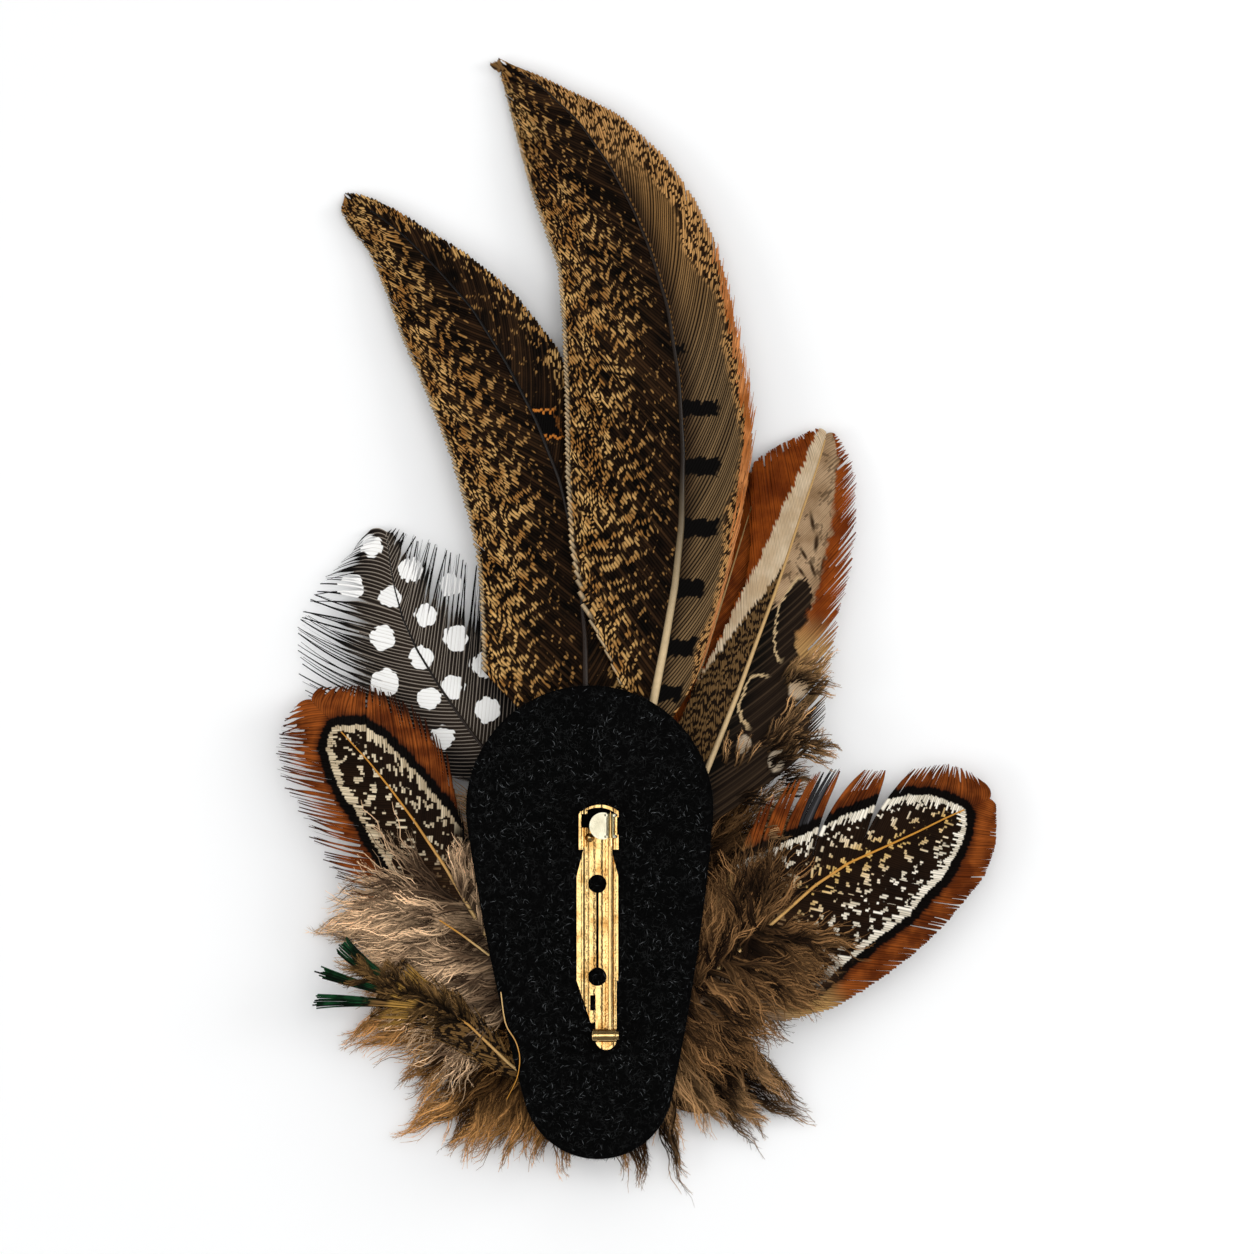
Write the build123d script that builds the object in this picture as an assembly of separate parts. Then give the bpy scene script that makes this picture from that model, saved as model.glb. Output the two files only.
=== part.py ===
from build123d import *
import math
import os

# Feather hat plume on a felt backing, with a bar brooch pin to fasten it. Millimetres.
# The origin is on the needle's axis, halfway along the bar.
# +X runs across the bar, +Y up the plume to the tall tip, +Z out of the back, where the pin is.

# Felt backing, an egg with its wide end up
FELT_THICKNESS = 2.0
FELT_TOP_RADIUS = 16.1
FELT_BOTTOM_RADIUS = 9.8
FELT_CENTRES = 35.8
FELT_TOP_CENTRE = (-2.7, 15.2)
FELT_LEAN = 1.7
FELT_SIDE_RADIUS = 300.0
FELT_EDGE_ROUND = 0.4

# Bar plate
BAR_SHEET = 0.5
BAR_WIDTH = 5.4
BAR_CENTRE_X = -1.7
BAR_MID_TOP = 6.5
BAR_MID_BOTTOM = -7.1
BAR_BAND_WIDTH = 2.9
BAR_BAND_HEIGHT = 0.25
BAR_NECK_WIDTH = 3.4
BAR_NECK_Y = 10.45
SEW_HOLE_RADIUS = 1.2
SEW_HOLE_TOP_Y = 5.5
SEW_HOLE_BOTTOM_Y = -6.6
SEAM_WIDTH = 0.35
GROOVE_WIDTH = 0.3
GROOVE_DEPTH = 0.2
NEEDLE_HEIGHT = 1.5
SEAT_GAP = 0.1

# Catch at the bar's upper end
CATCH_WALL = 0.35
CATCH_FLOOR_END = 12.8
CATCH_LEFT_X = -4.12
CATCH_LEFT_START = 10.2
CATCH_LEFT_HEIGHT = 2.2
CATCH_RIM_START = 14.6
CATCH_RIM_TOP = 15.8
CATCH_RIM_HEIGHT = 2.3
CATCH_LIP = 0.75
DIMPLE_RADIUS = 0.6
DIMPLE_INSET = 1.4

# Lock, a split barrel round the needle's point with a round thumb tab
LOCK_BORE = 0.42
LOCK_WALL = 0.28
LOCK_SLOT = 0.76
LOCK_COLLAR = 0.92
LOCK_COLLAR_LENGTH = 0.3
LOCK_COLLAR_PLAY = 0.2
LOCK_START = 11.5
LOCK_LENGTH = 3.1
LOCK_END_PLAY = 0.1
TAB_RADIUS = 1.76
TAB_REACH = 0.98
TAB_THICKNESS = 0.3
TAB_RISE = 0.3
SLEEVE_PLAY = 0.05
SLEEVE_WALL = 0.3
SLEEVE_OPEN_FROM = 35.0
SLEEVE_OPEN_TO = 200.0

# Needle and hinge
NEEDLE_RADIUS = 0.3
NEEDLE_ROOT_RADIUS = 0.38
NEEDLE_POINT_RADIUS = 0.06
NEEDLE_SHANK_START = -9.9
NEEDLE_SHANK_END = 10.4
NEEDLE_POINT_Y = 14.9
EYE_RADIUS = 0.85
EYE_LENGTH = 1.95
RIVET_RADIUS = 0.4
RIVET_SLIDE = 0.06
RIVET_SEAT = 0.02
RIVET_HEAD_RADIUS = 0.82
RIVET_HEAD_LENGTH = 0.45
RIVET_TAIL_RADIUS = 0.62
RIVET_TAIL_LENGTH = 0.25
HINGE_Y = -14.2
HINGE_BEND_SHIFT = 0.5
EAR_WALL = 0.3
EAR_SIDE_PLAY = 0.1
EAR_NEEDLE_GAP = 0.5
EAR_START = -11.4
EAR_TOP = 0.85
HINGE_BEND_TOP = 0.1
TONGUE_START = -7.1
TONGUE_END = -12.6
WINDOW_WIDTH = 0.7
WINDOW_TOP = -9.0
WINDOW_BOTTOM = -11.0

# Feathers, each with a length of its own
TAIL_TALL_LENGTH = 95.0
TAIL_LEFT_LENGTH = 84.3
BUFF_LENGTH = 59.4
CHESTNUT_LEFT_LENGTH = 47.2
SPOTTED_LENGTH = 39.7
RUFOUS_LENGTH = 46.2
CHESTNUT_RIGHT_LENGTH = 51.7
GREEN_LENGTH = 34.5
VANE_THICKNESS = 0.5
VANE_EDGE = 0.24
VANE_CAMBER = 0.5
VANE_SPACE = 0.15
QUILL_RADIUS = 0.55
QUILL_TIP_RADIUS = 0.2
LAYERS = 3
LAYER_GAP = 0.3

# A vane's form as shares: camber midway to the edge, least half width by the quill's radius,
# and where each barb lock has its notch and its tip
CAMBER_MIDWAY = 0.3
LEAST_HALF_WIDTH = 1.4
NOTCH_PLACE = 0.2
TIP_PLACE = 0.85

# Down
DOWN_HEIGHT = 5.0
DOWN_TIP_HEIGHT = 1.0
DOWN_SPREAD = 42.0
DOWN_HEAD_RADIUS = 2.5
DOWN_PART = 0.3

# A clump's form as shares: depth of the valleys between locks, change of reach from lock to lock
# with its step in radians, lift of the tips, and the rings of the section between head and tip
DOWN_VALLEY = 0.25
DOWN_UNEVEN = 0.06
DOWN_UNEVEN_STEP = 2.6
DOWN_TIP_LIFT = 0.4
DOWN_RINGS = (0.45, 0.75)

# Each row across one lock of down: place in the lock, share of its reach, fullness
DOWN_LOCK = (
    (0.00, 0.78, 0.0),
    (0.30, 0.93, 0.7),
    (0.55, 1.00, 1.0),
    (0.80, 0.93, 0.6),
)

# A cutter stands out this far past what it cuts
CUT = 1.0

BAR_BACK = -NEEDLE_HEIGHT
BAR_SEAT = BAR_BACK - BAR_SHEET
FELT_BACK = BAR_SEAT - SEAT_GAP
FELT_FRONT = FELT_BACK - FELT_THICKNESS
LAYER_PITCH = VANE_CAMBER + QUILL_RADIUS + VANE_THICKNESS / 2 + VANE_SPACE
TOP_LAYER = FELT_FRONT - LAYER_GAP - QUILL_RADIUS
LOW_LAYER = TOP_LAYER - (LAYERS - 1) * LAYER_PITCH
FLOOR = LOW_LAYER - QUILL_RADIUS - LAYER_GAP - DOWN_HEIGHT

# Places on the felt are counted from the centre of its wide end: share of that end's radius to the right,
# then share of the distance between the two end centres upwards.
FLUFF_PLACE = (0.043, -0.48)

# Each feather: place of its root on the felt, length, lean to the right of straight up in degrees, layer
# counted down from the felt, distance at which it droops to the floor as a share of its length, barb locks
# a side, and how deep their notches are as a share of the vane's width there.
# Each row of its outline: share of the length from the root, then left edge, quill and right edge beside
# the straight line from root to tip, as shares of the length.
FEATHERS = {
    "tail_feather_tall": dict(
        root=(0.407, 0.140), length=TAIL_TALL_LENGTH, lean=-11.3, layer=0, droop=1.242, locks=12, fray=0.04,
        outline=(
            (0.00, -0.006, 0.000, 0.006),
            (0.10, 0.000, 0.041, 0.100),
            (0.16, -0.012, 0.066, 0.132),
            (0.24, -0.034, 0.097, 0.172),
            (0.32, -0.034, 0.122, 0.208),
            (0.42, -0.020, 0.144, 0.242),
            (0.52, -0.001, 0.158, 0.248),
            (0.62, 0.015, 0.162, 0.249),
            (0.70, 0.025, 0.154, 0.243),
            (0.76, 0.016, 0.142, 0.226),
            (0.82, 0.008, 0.124, 0.200),
            (0.89, 0.004, 0.094, 0.150),
            (0.95, 0.001, 0.052, 0.072),
            (1.00, -0.003, 0.000, 0.004),
        ),
    ),
    "tail_feather_left": dict(
        root=(-0.031, 0.067), length=TAIL_LEFT_LENGTH, lean=-22.1, layer=1, droop=1.234, locks=12, fray=0.04,
        outline=(
            (0.00, -0.006, 0.000, 0.006),
            (0.08, -0.070, 0.033, 0.085),
            (0.15, -0.098, 0.060, 0.135),
            (0.22, -0.083, 0.088, 0.175),
            (0.30, -0.053, 0.113, 0.205),
            (0.38, -0.025, 0.131, 0.220),
            (0.46, -0.009, 0.143, 0.225),
            (0.56, 0.000, 0.144, 0.224),
            (0.66, 0.002, 0.135, 0.215),
            (0.76, -0.001, 0.117, 0.186),
            (0.84, 0.003, 0.089, 0.142),
            (0.90, 0.002, 0.064, 0.098),
            (0.95, -0.012, 0.036, 0.062),
            (0.98, -0.015, 0.012, 0.034),
            (1.00, -0.005, 0.000, 0.012),
        ),
    ),
    "buff_feather_right": dict(
        root=(0.665, -0.170), length=BUFF_LENGTH, lean=20.1, layer=1, droop=1.313, locks=14, fray=0.16,
        outline=(
            (0.00, -0.010, 0.000, 0.010),
            (0.12, -0.060, 0.004, 0.100),
            (0.25, -0.085, 0.010, 0.190),
            (0.38, -0.080, 0.014, 0.215),
            (0.50, -0.062, 0.014, 0.185),
            (0.62, -0.055, 0.015, 0.163),
            (0.72, -0.075, 0.013, 0.154),
            (0.80, -0.110, 0.010, 0.137),
            (0.87, -0.130, 0.009, 0.114),
            (0.93, -0.088, 0.007, 0.086),
            (0.98, -0.035, 0.003, 0.045),
            (1.00, -0.010, 0.000, 0.012),
        ),
    ),
    "chestnut_feather_left": dict(
        root=(-0.565, -0.662), length=CHESTNUT_LEFT_LENGTH, lean=-35.9,
        layer=1, droop=1.525, locks=14, fray=0.2,
        outline=(
            (0.00, -0.010, 0.000, 0.010),
            (0.12, -0.100, 0.009, 0.050),
            (0.25, -0.190, 0.018, 0.070),
            (0.40, -0.235, 0.032, 0.120),
            (0.55, -0.225, 0.037, 0.175),
            (0.66, -0.215, 0.036, 0.222),
            (0.76, -0.200, 0.031, 0.224),
            (0.85, -0.190, 0.020, 0.205),
            (0.92, -0.160, 0.010, 0.165),
            (0.97, -0.115, 0.003, 0.100),
            (1.00, -0.050, 0.000, 0.040),
        ),
    ),
    "spotted_feather": dict(
        root=(-0.528, 0.031), length=SPOTTED_LENGTH, lean=-27.4, layer=2, droop=1.562, locks=14, fray=0.2,
        outline=(
            (0.00, -0.012, 0.000, 0.012),
            (0.15, -0.140, -0.030, 0.100),
            (0.30, -0.310, -0.057, 0.200),
            (0.45, -0.420, -0.077, 0.260),
            (0.60, -0.460, -0.088, 0.260),
            (0.72, -0.455, -0.082, 0.225),
            (0.82, -0.420, -0.060, 0.170),
            (0.90, -0.340, -0.035, 0.110),
            (0.96, -0.230, -0.012, 0.055),
            (1.00, -0.090, 0.000, 0.020),
        ),
    ),
    "rufous_feather": dict(
        root=(0.571, 0.031), length=RUFOUS_LENGTH, lean=17.3, layer=2, droop=1.515, locks=12, fray=0.2,
        outline=(
            (0.00, -0.012, 0.000, 0.012),
            (0.15, -0.090, 0.000, 0.060),
            (0.35, -0.140, 0.000, 0.100),
            (0.55, -0.150, 0.000, 0.110),
            (0.75, -0.130, 0.000, 0.100),
            (0.88, -0.090, 0.000, 0.070),
            (0.96, -0.045, 0.000, 0.038),
            (1.00, -0.010, 0.000, 0.010),
        ),
    ),
    "chestnut_feather_right": dict(
        root=(0.571, -0.735), length=CHESTNUT_RIGHT_LENGTH, lean=57.5,
        layer=0, droop=1.277, locks=14, fray=0.2,
        outline=(
            (0.00, -0.010, 0.000, 0.010),
            (0.12, -0.080, -0.004, 0.100),
            (0.25, -0.140, -0.018, 0.190),
            (0.38, -0.225, -0.037, 0.232),
            (0.50, -0.300, -0.056, 0.232),
            (0.60, -0.310, -0.058, 0.226),
            (0.70, -0.275, -0.043, 0.210),
            (0.79, -0.215, -0.030, 0.183),
            (0.87, -0.168, -0.021, 0.158),
            (0.94, -0.140, -0.010, 0.105),
            (0.98, -0.095, -0.004, 0.045),
            (1.00, -0.045, 0.000, 0.010),
        ),
    ),
    "green_feather": dict(
        root=(-0.323, -1.045), length=GREEN_LENGTH, lean=-61.3, layer=0, droop=1.913, locks=8, fray=0.2,
        outline=(
            (0.00, -0.015, 0.000, 0.015),
            (0.20, -0.020, 0.034, 0.080),
            (0.40, -0.020, 0.088, 0.150),
            (0.60, -0.030, 0.096, 0.180),
            (0.75, -0.065, 0.075, 0.175),
            (0.88, -0.100, 0.045, 0.155),
            (0.95, -0.128, 0.020, 0.158),
            (1.00, -0.100, 0.000, 0.140),
        ),
    ),
}

# Each clump of down fans out from the shared head: first and last direction in degrees, number of locks,
# reach at the first, middle and last lock as shares of the spread, and the lowest feather layer over it.
DOWN_CLUMPS = {
    "down_right": dict(sweep=(-27.0, 47.0), locks=9, reaches=(0.86, 0.81, 0.79), layer=1),
    "down_top": dict(sweep=(47.0, 148.0), locks=10, reaches=(0.71, 0.62, 0.71), layer=2),
    "down_left": dict(sweep=(148.0, 196.0), locks=7, reaches=(0.81, 0.87, 0.81), layer=1),
    "down_bottom_left": dict(sweep=(196.0, 248.0), locks=7, reaches=(0.83, 0.90, 0.81), layer=1),
    "down_bottom": dict(sweep=(248.0, 285.0), locks=5, reaches=(0.76, 0.68, 0.75), layer=0),
    "down_bottom_right": dict(sweep=(285.0, 333.0), locks=7, reaches=(0.74, 0.85, 0.81), layer=0),
}


def box_between(low, high):
    """Block from one corner to the opposite one."""
    size = [b - a for a, b in zip(low, high)]
    middle = [(a + b) / 2 for a, b in zip(low, high)]
    return Pos(*middle) * Box(*size)


def rod_along_x(radius, start, end, y, z):
    """Round rod along X between two x values."""
    return Pos((start + end) / 2, y, z) * Rot(0, 90, 0) * Cylinder(radius, end - start)


def rod_along_y(radius, start, end, x=0.0, z=0.0):
    """Round rod along Y between two y values."""
    return Pos(x, (start + end) / 2, z) * Rot(-90, 0, 0) * Cylinder(radius, end - start)


def cone_along_y(first, last, start, end):
    """Cone on the needle's axis between two y values, with a radius at each."""
    return Pos(0, (start + end) / 2, 0) * Rot(-90, 0, 0) * Cone(first, last, end - start)


def on_felt(place):
    """The x and y of a place on the felt."""
    return FELT_TOP_CENTRE[0] + place[0] * FELT_TOP_RADIUS, FELT_TOP_CENTRE[1] + place[1] * FELT_CENTRES


def felt_backing():
    """Egg-shaped felt wall with rounded edges: two end arcs joined by two long side arcs tangent to both."""
    drop = FELT_CENTRES
    top_swing = FELT_SIDE_RADIUS - FELT_TOP_RADIUS
    low_swing = FELT_SIDE_RADIUS - FELT_BOTTOM_RADIUS
    side_y = (low_swing**2 - top_swing**2 - drop**2) / (2 * drop)
    side_x = math.sqrt(top_swing**2 - side_y**2)
    high_x = side_x * FELT_TOP_RADIUS / top_swing
    high_y = -side_y * FELT_TOP_RADIUS / top_swing
    low_x = side_x * FELT_BOTTOM_RADIUS / low_swing
    low_y = -drop - (side_y + drop) * FELT_BOTTOM_RADIUS / low_swing
    middle_y = (high_y + low_y) / 2
    middle_x = math.sqrt(FELT_SIDE_RADIUS**2 - (middle_y - side_y) ** 2) - side_x
    outline = Wire(
        [
            Edge.make_three_point_arc((-high_x, high_y), (0, FELT_TOP_RADIUS), (high_x, high_y)),
            Edge.make_three_point_arc((high_x, high_y), (middle_x, middle_y), (low_x, low_y)),
            Edge.make_three_point_arc((low_x, low_y), (0, -drop - FELT_BOTTOM_RADIUS), (-low_x, low_y)),
            Edge.make_three_point_arc((-low_x, low_y), (-middle_x, middle_y), (-high_x, high_y)),
        ]
    )
    slab = extrude(Face(outline), FELT_THICKNESS, dir=(0, 0, 1))
    rims = slab.edges().group_by(Axis.Z)
    slab = fillet(rims[0] + rims[-1], FELT_EDGE_ROUND)
    return Pos(*FELT_TOP_CENTRE, FELT_FRONT) * Rot(0, 0, FELT_LEAN) * slab


def bar_x(offset):
    """An x value counted from the bar's centreline."""
    return BAR_CENTRE_X + offset


def prism(points, low, high):
    """Upright prism over a plan outline."""
    face = Face(Wire.make_polygon([(x, y, low) for x, y in points], close=True))
    return extrude(face, high - low, dir=(0, 0, 1))


def bar_floor():
    """Flat sheet of the bar: middle, neck, catch floor, and the tapered tongue with the hinge floor."""
    half = BAR_WIDTH / 2
    neck = BAR_NECK_WIDTH / 2
    ear_out = EAR_NEEDLE_GAP + EAR_WALL
    left_ear = hinge_left()
    middle = prism(
        [
            (bar_x(-half), TONGUE_START),
            (bar_x(half), TONGUE_START),
            (bar_x(half), BAR_MID_TOP),
            (bar_x(neck), BAR_NECK_Y),
            (bar_x(-neck), BAR_NECK_Y),
            (bar_x(-half), BAR_MID_TOP),
        ],
        BAR_SEAT,
        BAR_BACK,
    )
    catch = box_between(
        (CATCH_LEFT_X, BAR_NECK_Y - BAR_SHEET, BAR_SEAT),
        (sleeve_right(), CATCH_FLOOR_END, BAR_BACK),
    )
    tongue = prism(
        [
            (bar_x(-half), TONGUE_START),
            (left_ear + EAR_WALL, TONGUE_START),
            (left_ear + EAR_WALL, TONGUE_END + BAR_SHEET),
            (left_ear - EAR_WALL, TONGUE_END),
            (left_ear - 2 * EAR_WALL, TONGUE_END),
        ],
        BAR_SEAT,
        BAR_BACK,
    )
    hinge = box_between((left_ear, HINGE_Y, BAR_SEAT), (ear_out, TONGUE_START, BAR_BACK))
    return middle + catch + tongue + hinge


def hinge_left():
    """Outer face of the left ear, from the needle's gap and the eye's length."""
    return EAR_NEEDLE_GAP - EAR_SIDE_PLAY * 2 - EYE_LENGTH - EAR_WALL


def hinge_walls():
    """Two ears and the round bend that joins them past the rivet."""
    left = hinge_left()
    right = EAR_NEEDLE_GAP + EAR_WALL
    middle = (left + right) / 2
    outer = (right - left) / 2
    bend_y = HINGE_Y - HINGE_BEND_SHIFT
    walls = Pos(middle, bend_y, BAR_SEAT + BAR_SHEET / 2) * Cylinder(outer, BAR_SHEET)
    walls += box_between((left, bend_y, BAR_SEAT), (right, HINGE_Y, BAR_BACK))
    height = HINGE_BEND_TOP - BAR_SEAT
    bend = Pos(middle, bend_y, BAR_SEAT + height / 2) * (
        Cylinder(outer, height) - Cylinder(outer - EAR_WALL, height)
    )
    walls += bend & box_between((left, bend_y - outer, BAR_SEAT), (right, bend_y, EAR_TOP))
    for side in (left, right - EAR_WALL):
        walls += box_between((side, bend_y, BAR_SEAT), (side + EAR_WALL, EAR_START, HINGE_BEND_TOP))
        walls += rod_along_x(EAR_TOP, side, side + EAR_WALL, HINGE_Y, 0)
    return walls


def sleeve_right():
    """Outer face of the sleeve that the lock turns in."""
    return LOCK_BORE + LOCK_WALL + SLEEVE_PLAY + SLEEVE_WALL


def sleeve_span():
    """First and last y of the sleeve, between the lock's collars."""
    start = LOCK_START + LOCK_COLLAR_LENGTH + LOCK_END_PLAY
    end = LOCK_START + LOCK_LENGTH - LOCK_COLLAR_LENGTH - LOCK_END_PLAY
    return start, end


def wedge_along_y(radius, first, last, start, end):
    """Pie slice round the needle's axis between two angles, counted from +X towards +Z."""
    steps = 8
    turn = (last - first) / steps
    rim = [math.radians(first + turn * i) for i in range(steps + 1)]
    reach = radius / math.cos(math.radians(turn / 2))
    points = [(0, start, 0)] + [(reach * math.cos(a), start, reach * math.sin(a)) for a in rim]
    return extrude(Face(Wire.make_polygon(points, close=True)), end - start, dir=(0, 1, 0))


def catch_walls():
    """Left wall, end rim with its lip, and the right wall curled into the lock's sleeve."""
    start, end = sleeve_span()
    right = sleeve_right()
    sleeve = rod_along_y(right, start, end) - rod_along_y(right - SLEEVE_WALL, start, end)
    sleeve -= wedge_along_y(right * 2, SLEEVE_OPEN_FROM, SLEEVE_OPEN_TO, start - CUT, end + CUT)
    post = box_between((right - SLEEVE_WALL, start, BAR_SEAT), (right, end, 0))
    low_wall = box_between(
        (right - SLEEVE_WALL, BAR_NECK_Y, BAR_SEAT),
        (right, CATCH_RIM_START + CATCH_WALL, -LOCK_COLLAR - LOCK_COLLAR_PLAY),
    )
    left_wall = box_between(
        (CATCH_LEFT_X, CATCH_LEFT_START, BAR_SEAT),
        (CATCH_LEFT_X + CATCH_WALL, CATCH_RIM_START, BAR_SEAT + CATCH_LEFT_HEIGHT),
    )
    middle = (CATCH_LEFT_X + right) / 2
    outer = Edge.make_three_point_arc(
        (CATCH_LEFT_X, CATCH_RIM_START), (middle, CATCH_RIM_TOP), (right, CATCH_RIM_START + CATCH_WALL)
    )
    inner = Edge.make_three_point_arc(
        (CATCH_LEFT_X + CATCH_WALL, CATCH_RIM_START),
        (middle, CATCH_RIM_TOP - CATCH_WALL),
        (right - SLEEVE_WALL, CATCH_RIM_START),
    )
    ends = [Edge.make_line(outer @ 0, inner @ 0), Edge.make_line(outer @ 1, inner @ 1)]
    rim = Pos(0, 0, BAR_SEAT) * extrude(Face(Wire([outer, inner] + ends)), CATCH_RIM_HEIGHT, dir=(0, 0, 1))
    lip_top = BAR_SEAT + CATCH_RIM_HEIGHT
    lip = box_between(
        (CATCH_LEFT_X + CATCH_WALL / 2, CATCH_RIM_START, lip_top - CATCH_WALL),
        (CATCH_LEFT_X + CATCH_WALL + CATCH_LIP, CATCH_RIM_START + CATCH_WALL, lip_top),
    )
    return sleeve + post + low_wall + left_wall + rim + lip


def bar_plate():
    """The whole folded sheet: floor, raised band, holes, seam, grooves, window, catch and hinge."""
    half = BAR_WIDTH / 2
    band_half = BAR_BAND_WIDTH / 2
    plate = bar_floor()
    plate += prism(
        [
            (bar_x(-band_half), BAR_MID_BOTTOM),
            (bar_x(band_half), BAR_MID_BOTTOM),
            (bar_x(band_half), BAR_MID_TOP),
            (bar_x(-band_half), BAR_MID_TOP),
        ],
        BAR_BACK,
        BAR_BACK + BAR_BAND_HEIGHT,
    )
    through = BAR_SHEET + BAR_BAND_HEIGHT
    for y in (SEW_HOLE_TOP_Y, SEW_HOLE_BOTTOM_Y):
        plate -= Pos(bar_x(0), y, BAR_SEAT + through / 2) * Cylinder(SEW_HOLE_RADIUS, through * 2)
        plate -= box_between(
            (bar_x(-half - CUT), y - GROOVE_WIDTH / 2, BAR_BACK - GROOVE_DEPTH),
            (bar_x(half + CUT), y + GROOVE_WIDTH / 2, BAR_BACK + CUT),
        )
    plate -= box_between(
        (bar_x(-SEAM_WIDTH / 2), SEW_HOLE_BOTTOM_Y, BAR_SEAT - CUT),
        (bar_x(SEAM_WIDTH / 2), SEW_HOLE_TOP_Y, BAR_BACK + CUT),
    )
    plate -= box_between(
        (hinge_left() - WINDOW_WIDTH, WINDOW_BOTTOM, BAR_SEAT - CUT),
        (hinge_left(), WINDOW_TOP, BAR_BACK + CUT),
    )
    plate += catch_walls() + hinge_walls()
    dimple = Pos(CATCH_LEFT_X + DIMPLE_INSET, LOCK_START, BAR_BACK) * Sphere(DIMPLE_RADIUS)
    plate += dimple & box_between((CATCH_LEFT_X, BAR_NECK_Y, BAR_SEAT), (0, CATCH_FLOOR_END, 0))
    hole = RIVET_RADIUS + RIVET_SEAT
    plate -= rod_along_x(hole, hinge_left() - CUT, EAR_NEEDLE_GAP + EAR_WALL + CUT, HINGE_Y, 0)
    return plate


def hinge_rivet():
    """Rivet through both ears, with a round head on the left and a small one on the right."""
    left = hinge_left() - RIVET_SEAT
    right = EAR_NEEDLE_GAP + EAR_WALL + RIVET_SEAT
    shank = rod_along_x(RIVET_RADIUS, left, right, HINGE_Y, 0)
    head = rod_along_x(RIVET_HEAD_RADIUS, left - RIVET_HEAD_LENGTH, left, HINGE_Y, 0)
    head = fillet(head.edges().group_by(Axis.X)[0], RIVET_HEAD_LENGTH / 2)
    tail = rod_along_x(RIVET_TAIL_RADIUS, right, right + RIVET_TAIL_LENGTH, HINGE_Y, 0)
    return shank + head + tail


def pin_needle():
    """Needle with its eye round the rivet, a root that grows stouter towards the eye and a tapered point."""
    eye_right = EAR_NEEDLE_GAP - EAR_SIDE_PLAY
    eye = rod_along_x(EYE_RADIUS, eye_right - EYE_LENGTH, eye_right, HINGE_Y, 0)
    root = cone_along_y(NEEDLE_ROOT_RADIUS, NEEDLE_RADIUS, HINGE_Y, NEEDLE_SHANK_START)
    shank = rod_along_y(NEEDLE_RADIUS, NEEDLE_SHANK_START, NEEDLE_SHANK_END)
    point = cone_along_y(NEEDLE_RADIUS, NEEDLE_POINT_RADIUS, NEEDLE_SHANK_END, NEEDLE_POINT_Y)
    needle = eye + root + shank + point
    return needle - rod_along_x(RIVET_RADIUS + RIVET_SLIDE, -EYE_LENGTH * 2, EYE_LENGTH, HINGE_Y, 0)


def catch_lock():
    """Split barrel with a collar at each end, and a round thumb tab standing out to the left."""
    end = LOCK_START + LOCK_LENGTH
    outer = LOCK_BORE + LOCK_WALL
    barrel = rod_along_y(outer, LOCK_START, end)
    barrel += rod_along_y(LOCK_COLLAR, LOCK_START, LOCK_START + LOCK_COLLAR_LENGTH)
    barrel += rod_along_y(LOCK_COLLAR, end - LOCK_COLLAR_LENGTH, end)
    disc_y = (LOCK_START + end) / 2
    disc = Pos(-TAB_REACH, disc_y, TAB_RISE) * Cylinder(TAB_RADIUS, TAB_THICKNESS)
    inside = -LOCK_BORE - LOCK_WALL / 4
    keep = box_between((-TAB_REACH - TAB_RADIUS, 0, -CUT), (inside, end + TAB_RADIUS, CUT))
    lock = barrel + (disc & keep)
    lock -= rod_along_y(LOCK_BORE, LOCK_START - CUT, end + CUT)
    lock -= box_between(
        (-LOCK_SLOT / 2, LOCK_START - CUT, 0), (LOCK_SLOT / 2, end + CUT, LOCK_COLLAR + CUT)
    )
    return lock


def skin_solid(loops):
    """Closed solid over a row of flat loops with equal numbers of points, capped at both ends."""
    faces = [Face(Wire.make_polygon(loops[0], close=True)), Face(Wire.make_polygon(loops[-1], close=True))]
    count = len(loops[0])
    for a, b in zip(loops, loops[1:]):
        for i in range(count):
            j = (i + 1) % count
            faces.append(Face(Wire.make_polygon([a[i], a[j], b[j]], close=True)))
            faces.append(Face(Wire.make_polygon([a[i], b[j], b[i]], close=True)))
    solid = Solid(Shell(faces))
    return solid if solid.volume > 0 else Solid(Shell([-face for face in faces]))


def between(rows, at):
    """Values of an outline's row at a share of the length, joined by straight runs."""
    for low, high in zip(rows, rows[1:]):
        if at <= high[0]:
            part = (at - low[0]) / (high[0] - low[0])
            return [a + (b - a) * part for a, b in zip(low[1:], high[1:])]
    return list(rows[-1][1:])


def layer_height(layer, reach, x, y):
    """Height of a feather's quill at a place: level under the felt, drooping to the floor at its reach."""
    top = TOP_LAYER - layer * LAYER_PITCH
    centre = on_felt(FLUFF_PLACE)
    away = math.hypot(x - centre[0], y - centre[1])
    rest = FLOOR + VANE_THICKNESS
    return rest + (top - rest) * max(0.0, 1 - (away / reach) ** 2)


def feather_stations(rows, locks):
    """Shares of the length for the loops: each lock has a notch and, further on, a tip."""
    stations = [rows[0][0]]
    first = rows[1][0]
    for i in range(locks):
        stations.append(first + (1 - first) * (i + NOTCH_PLACE) / locks)
        stations.append(first + (1 - first) * (i + TIP_PLACE) / locks)
    return stations + [1.0]


def vane_section(left, quill, right, thick, camber):
    """Section across a vane as offset and rise: the back from left to right, then the front back again."""
    flat = VANE_THICKNESS / 2
    edge = VANE_EDGE / 2
    low_side = (left + quill - thick) / 2
    high_side = (right + quill + thick) / 2
    midway = camber * CAMBER_MIDWAY
    return [
        (left, camber + edge),
        (low_side, midway + flat),
        (quill - thick, flat),
        (quill, thick),
        (quill + thick, flat),
        (high_side, midway + flat),
        (right, camber + edge),
        (right, camber - edge),
        (high_side, midway - flat),
        (quill, -(flat + thick) / 2),
        (low_side, midway - flat),
        (left, camber - edge),
    ]


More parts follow.
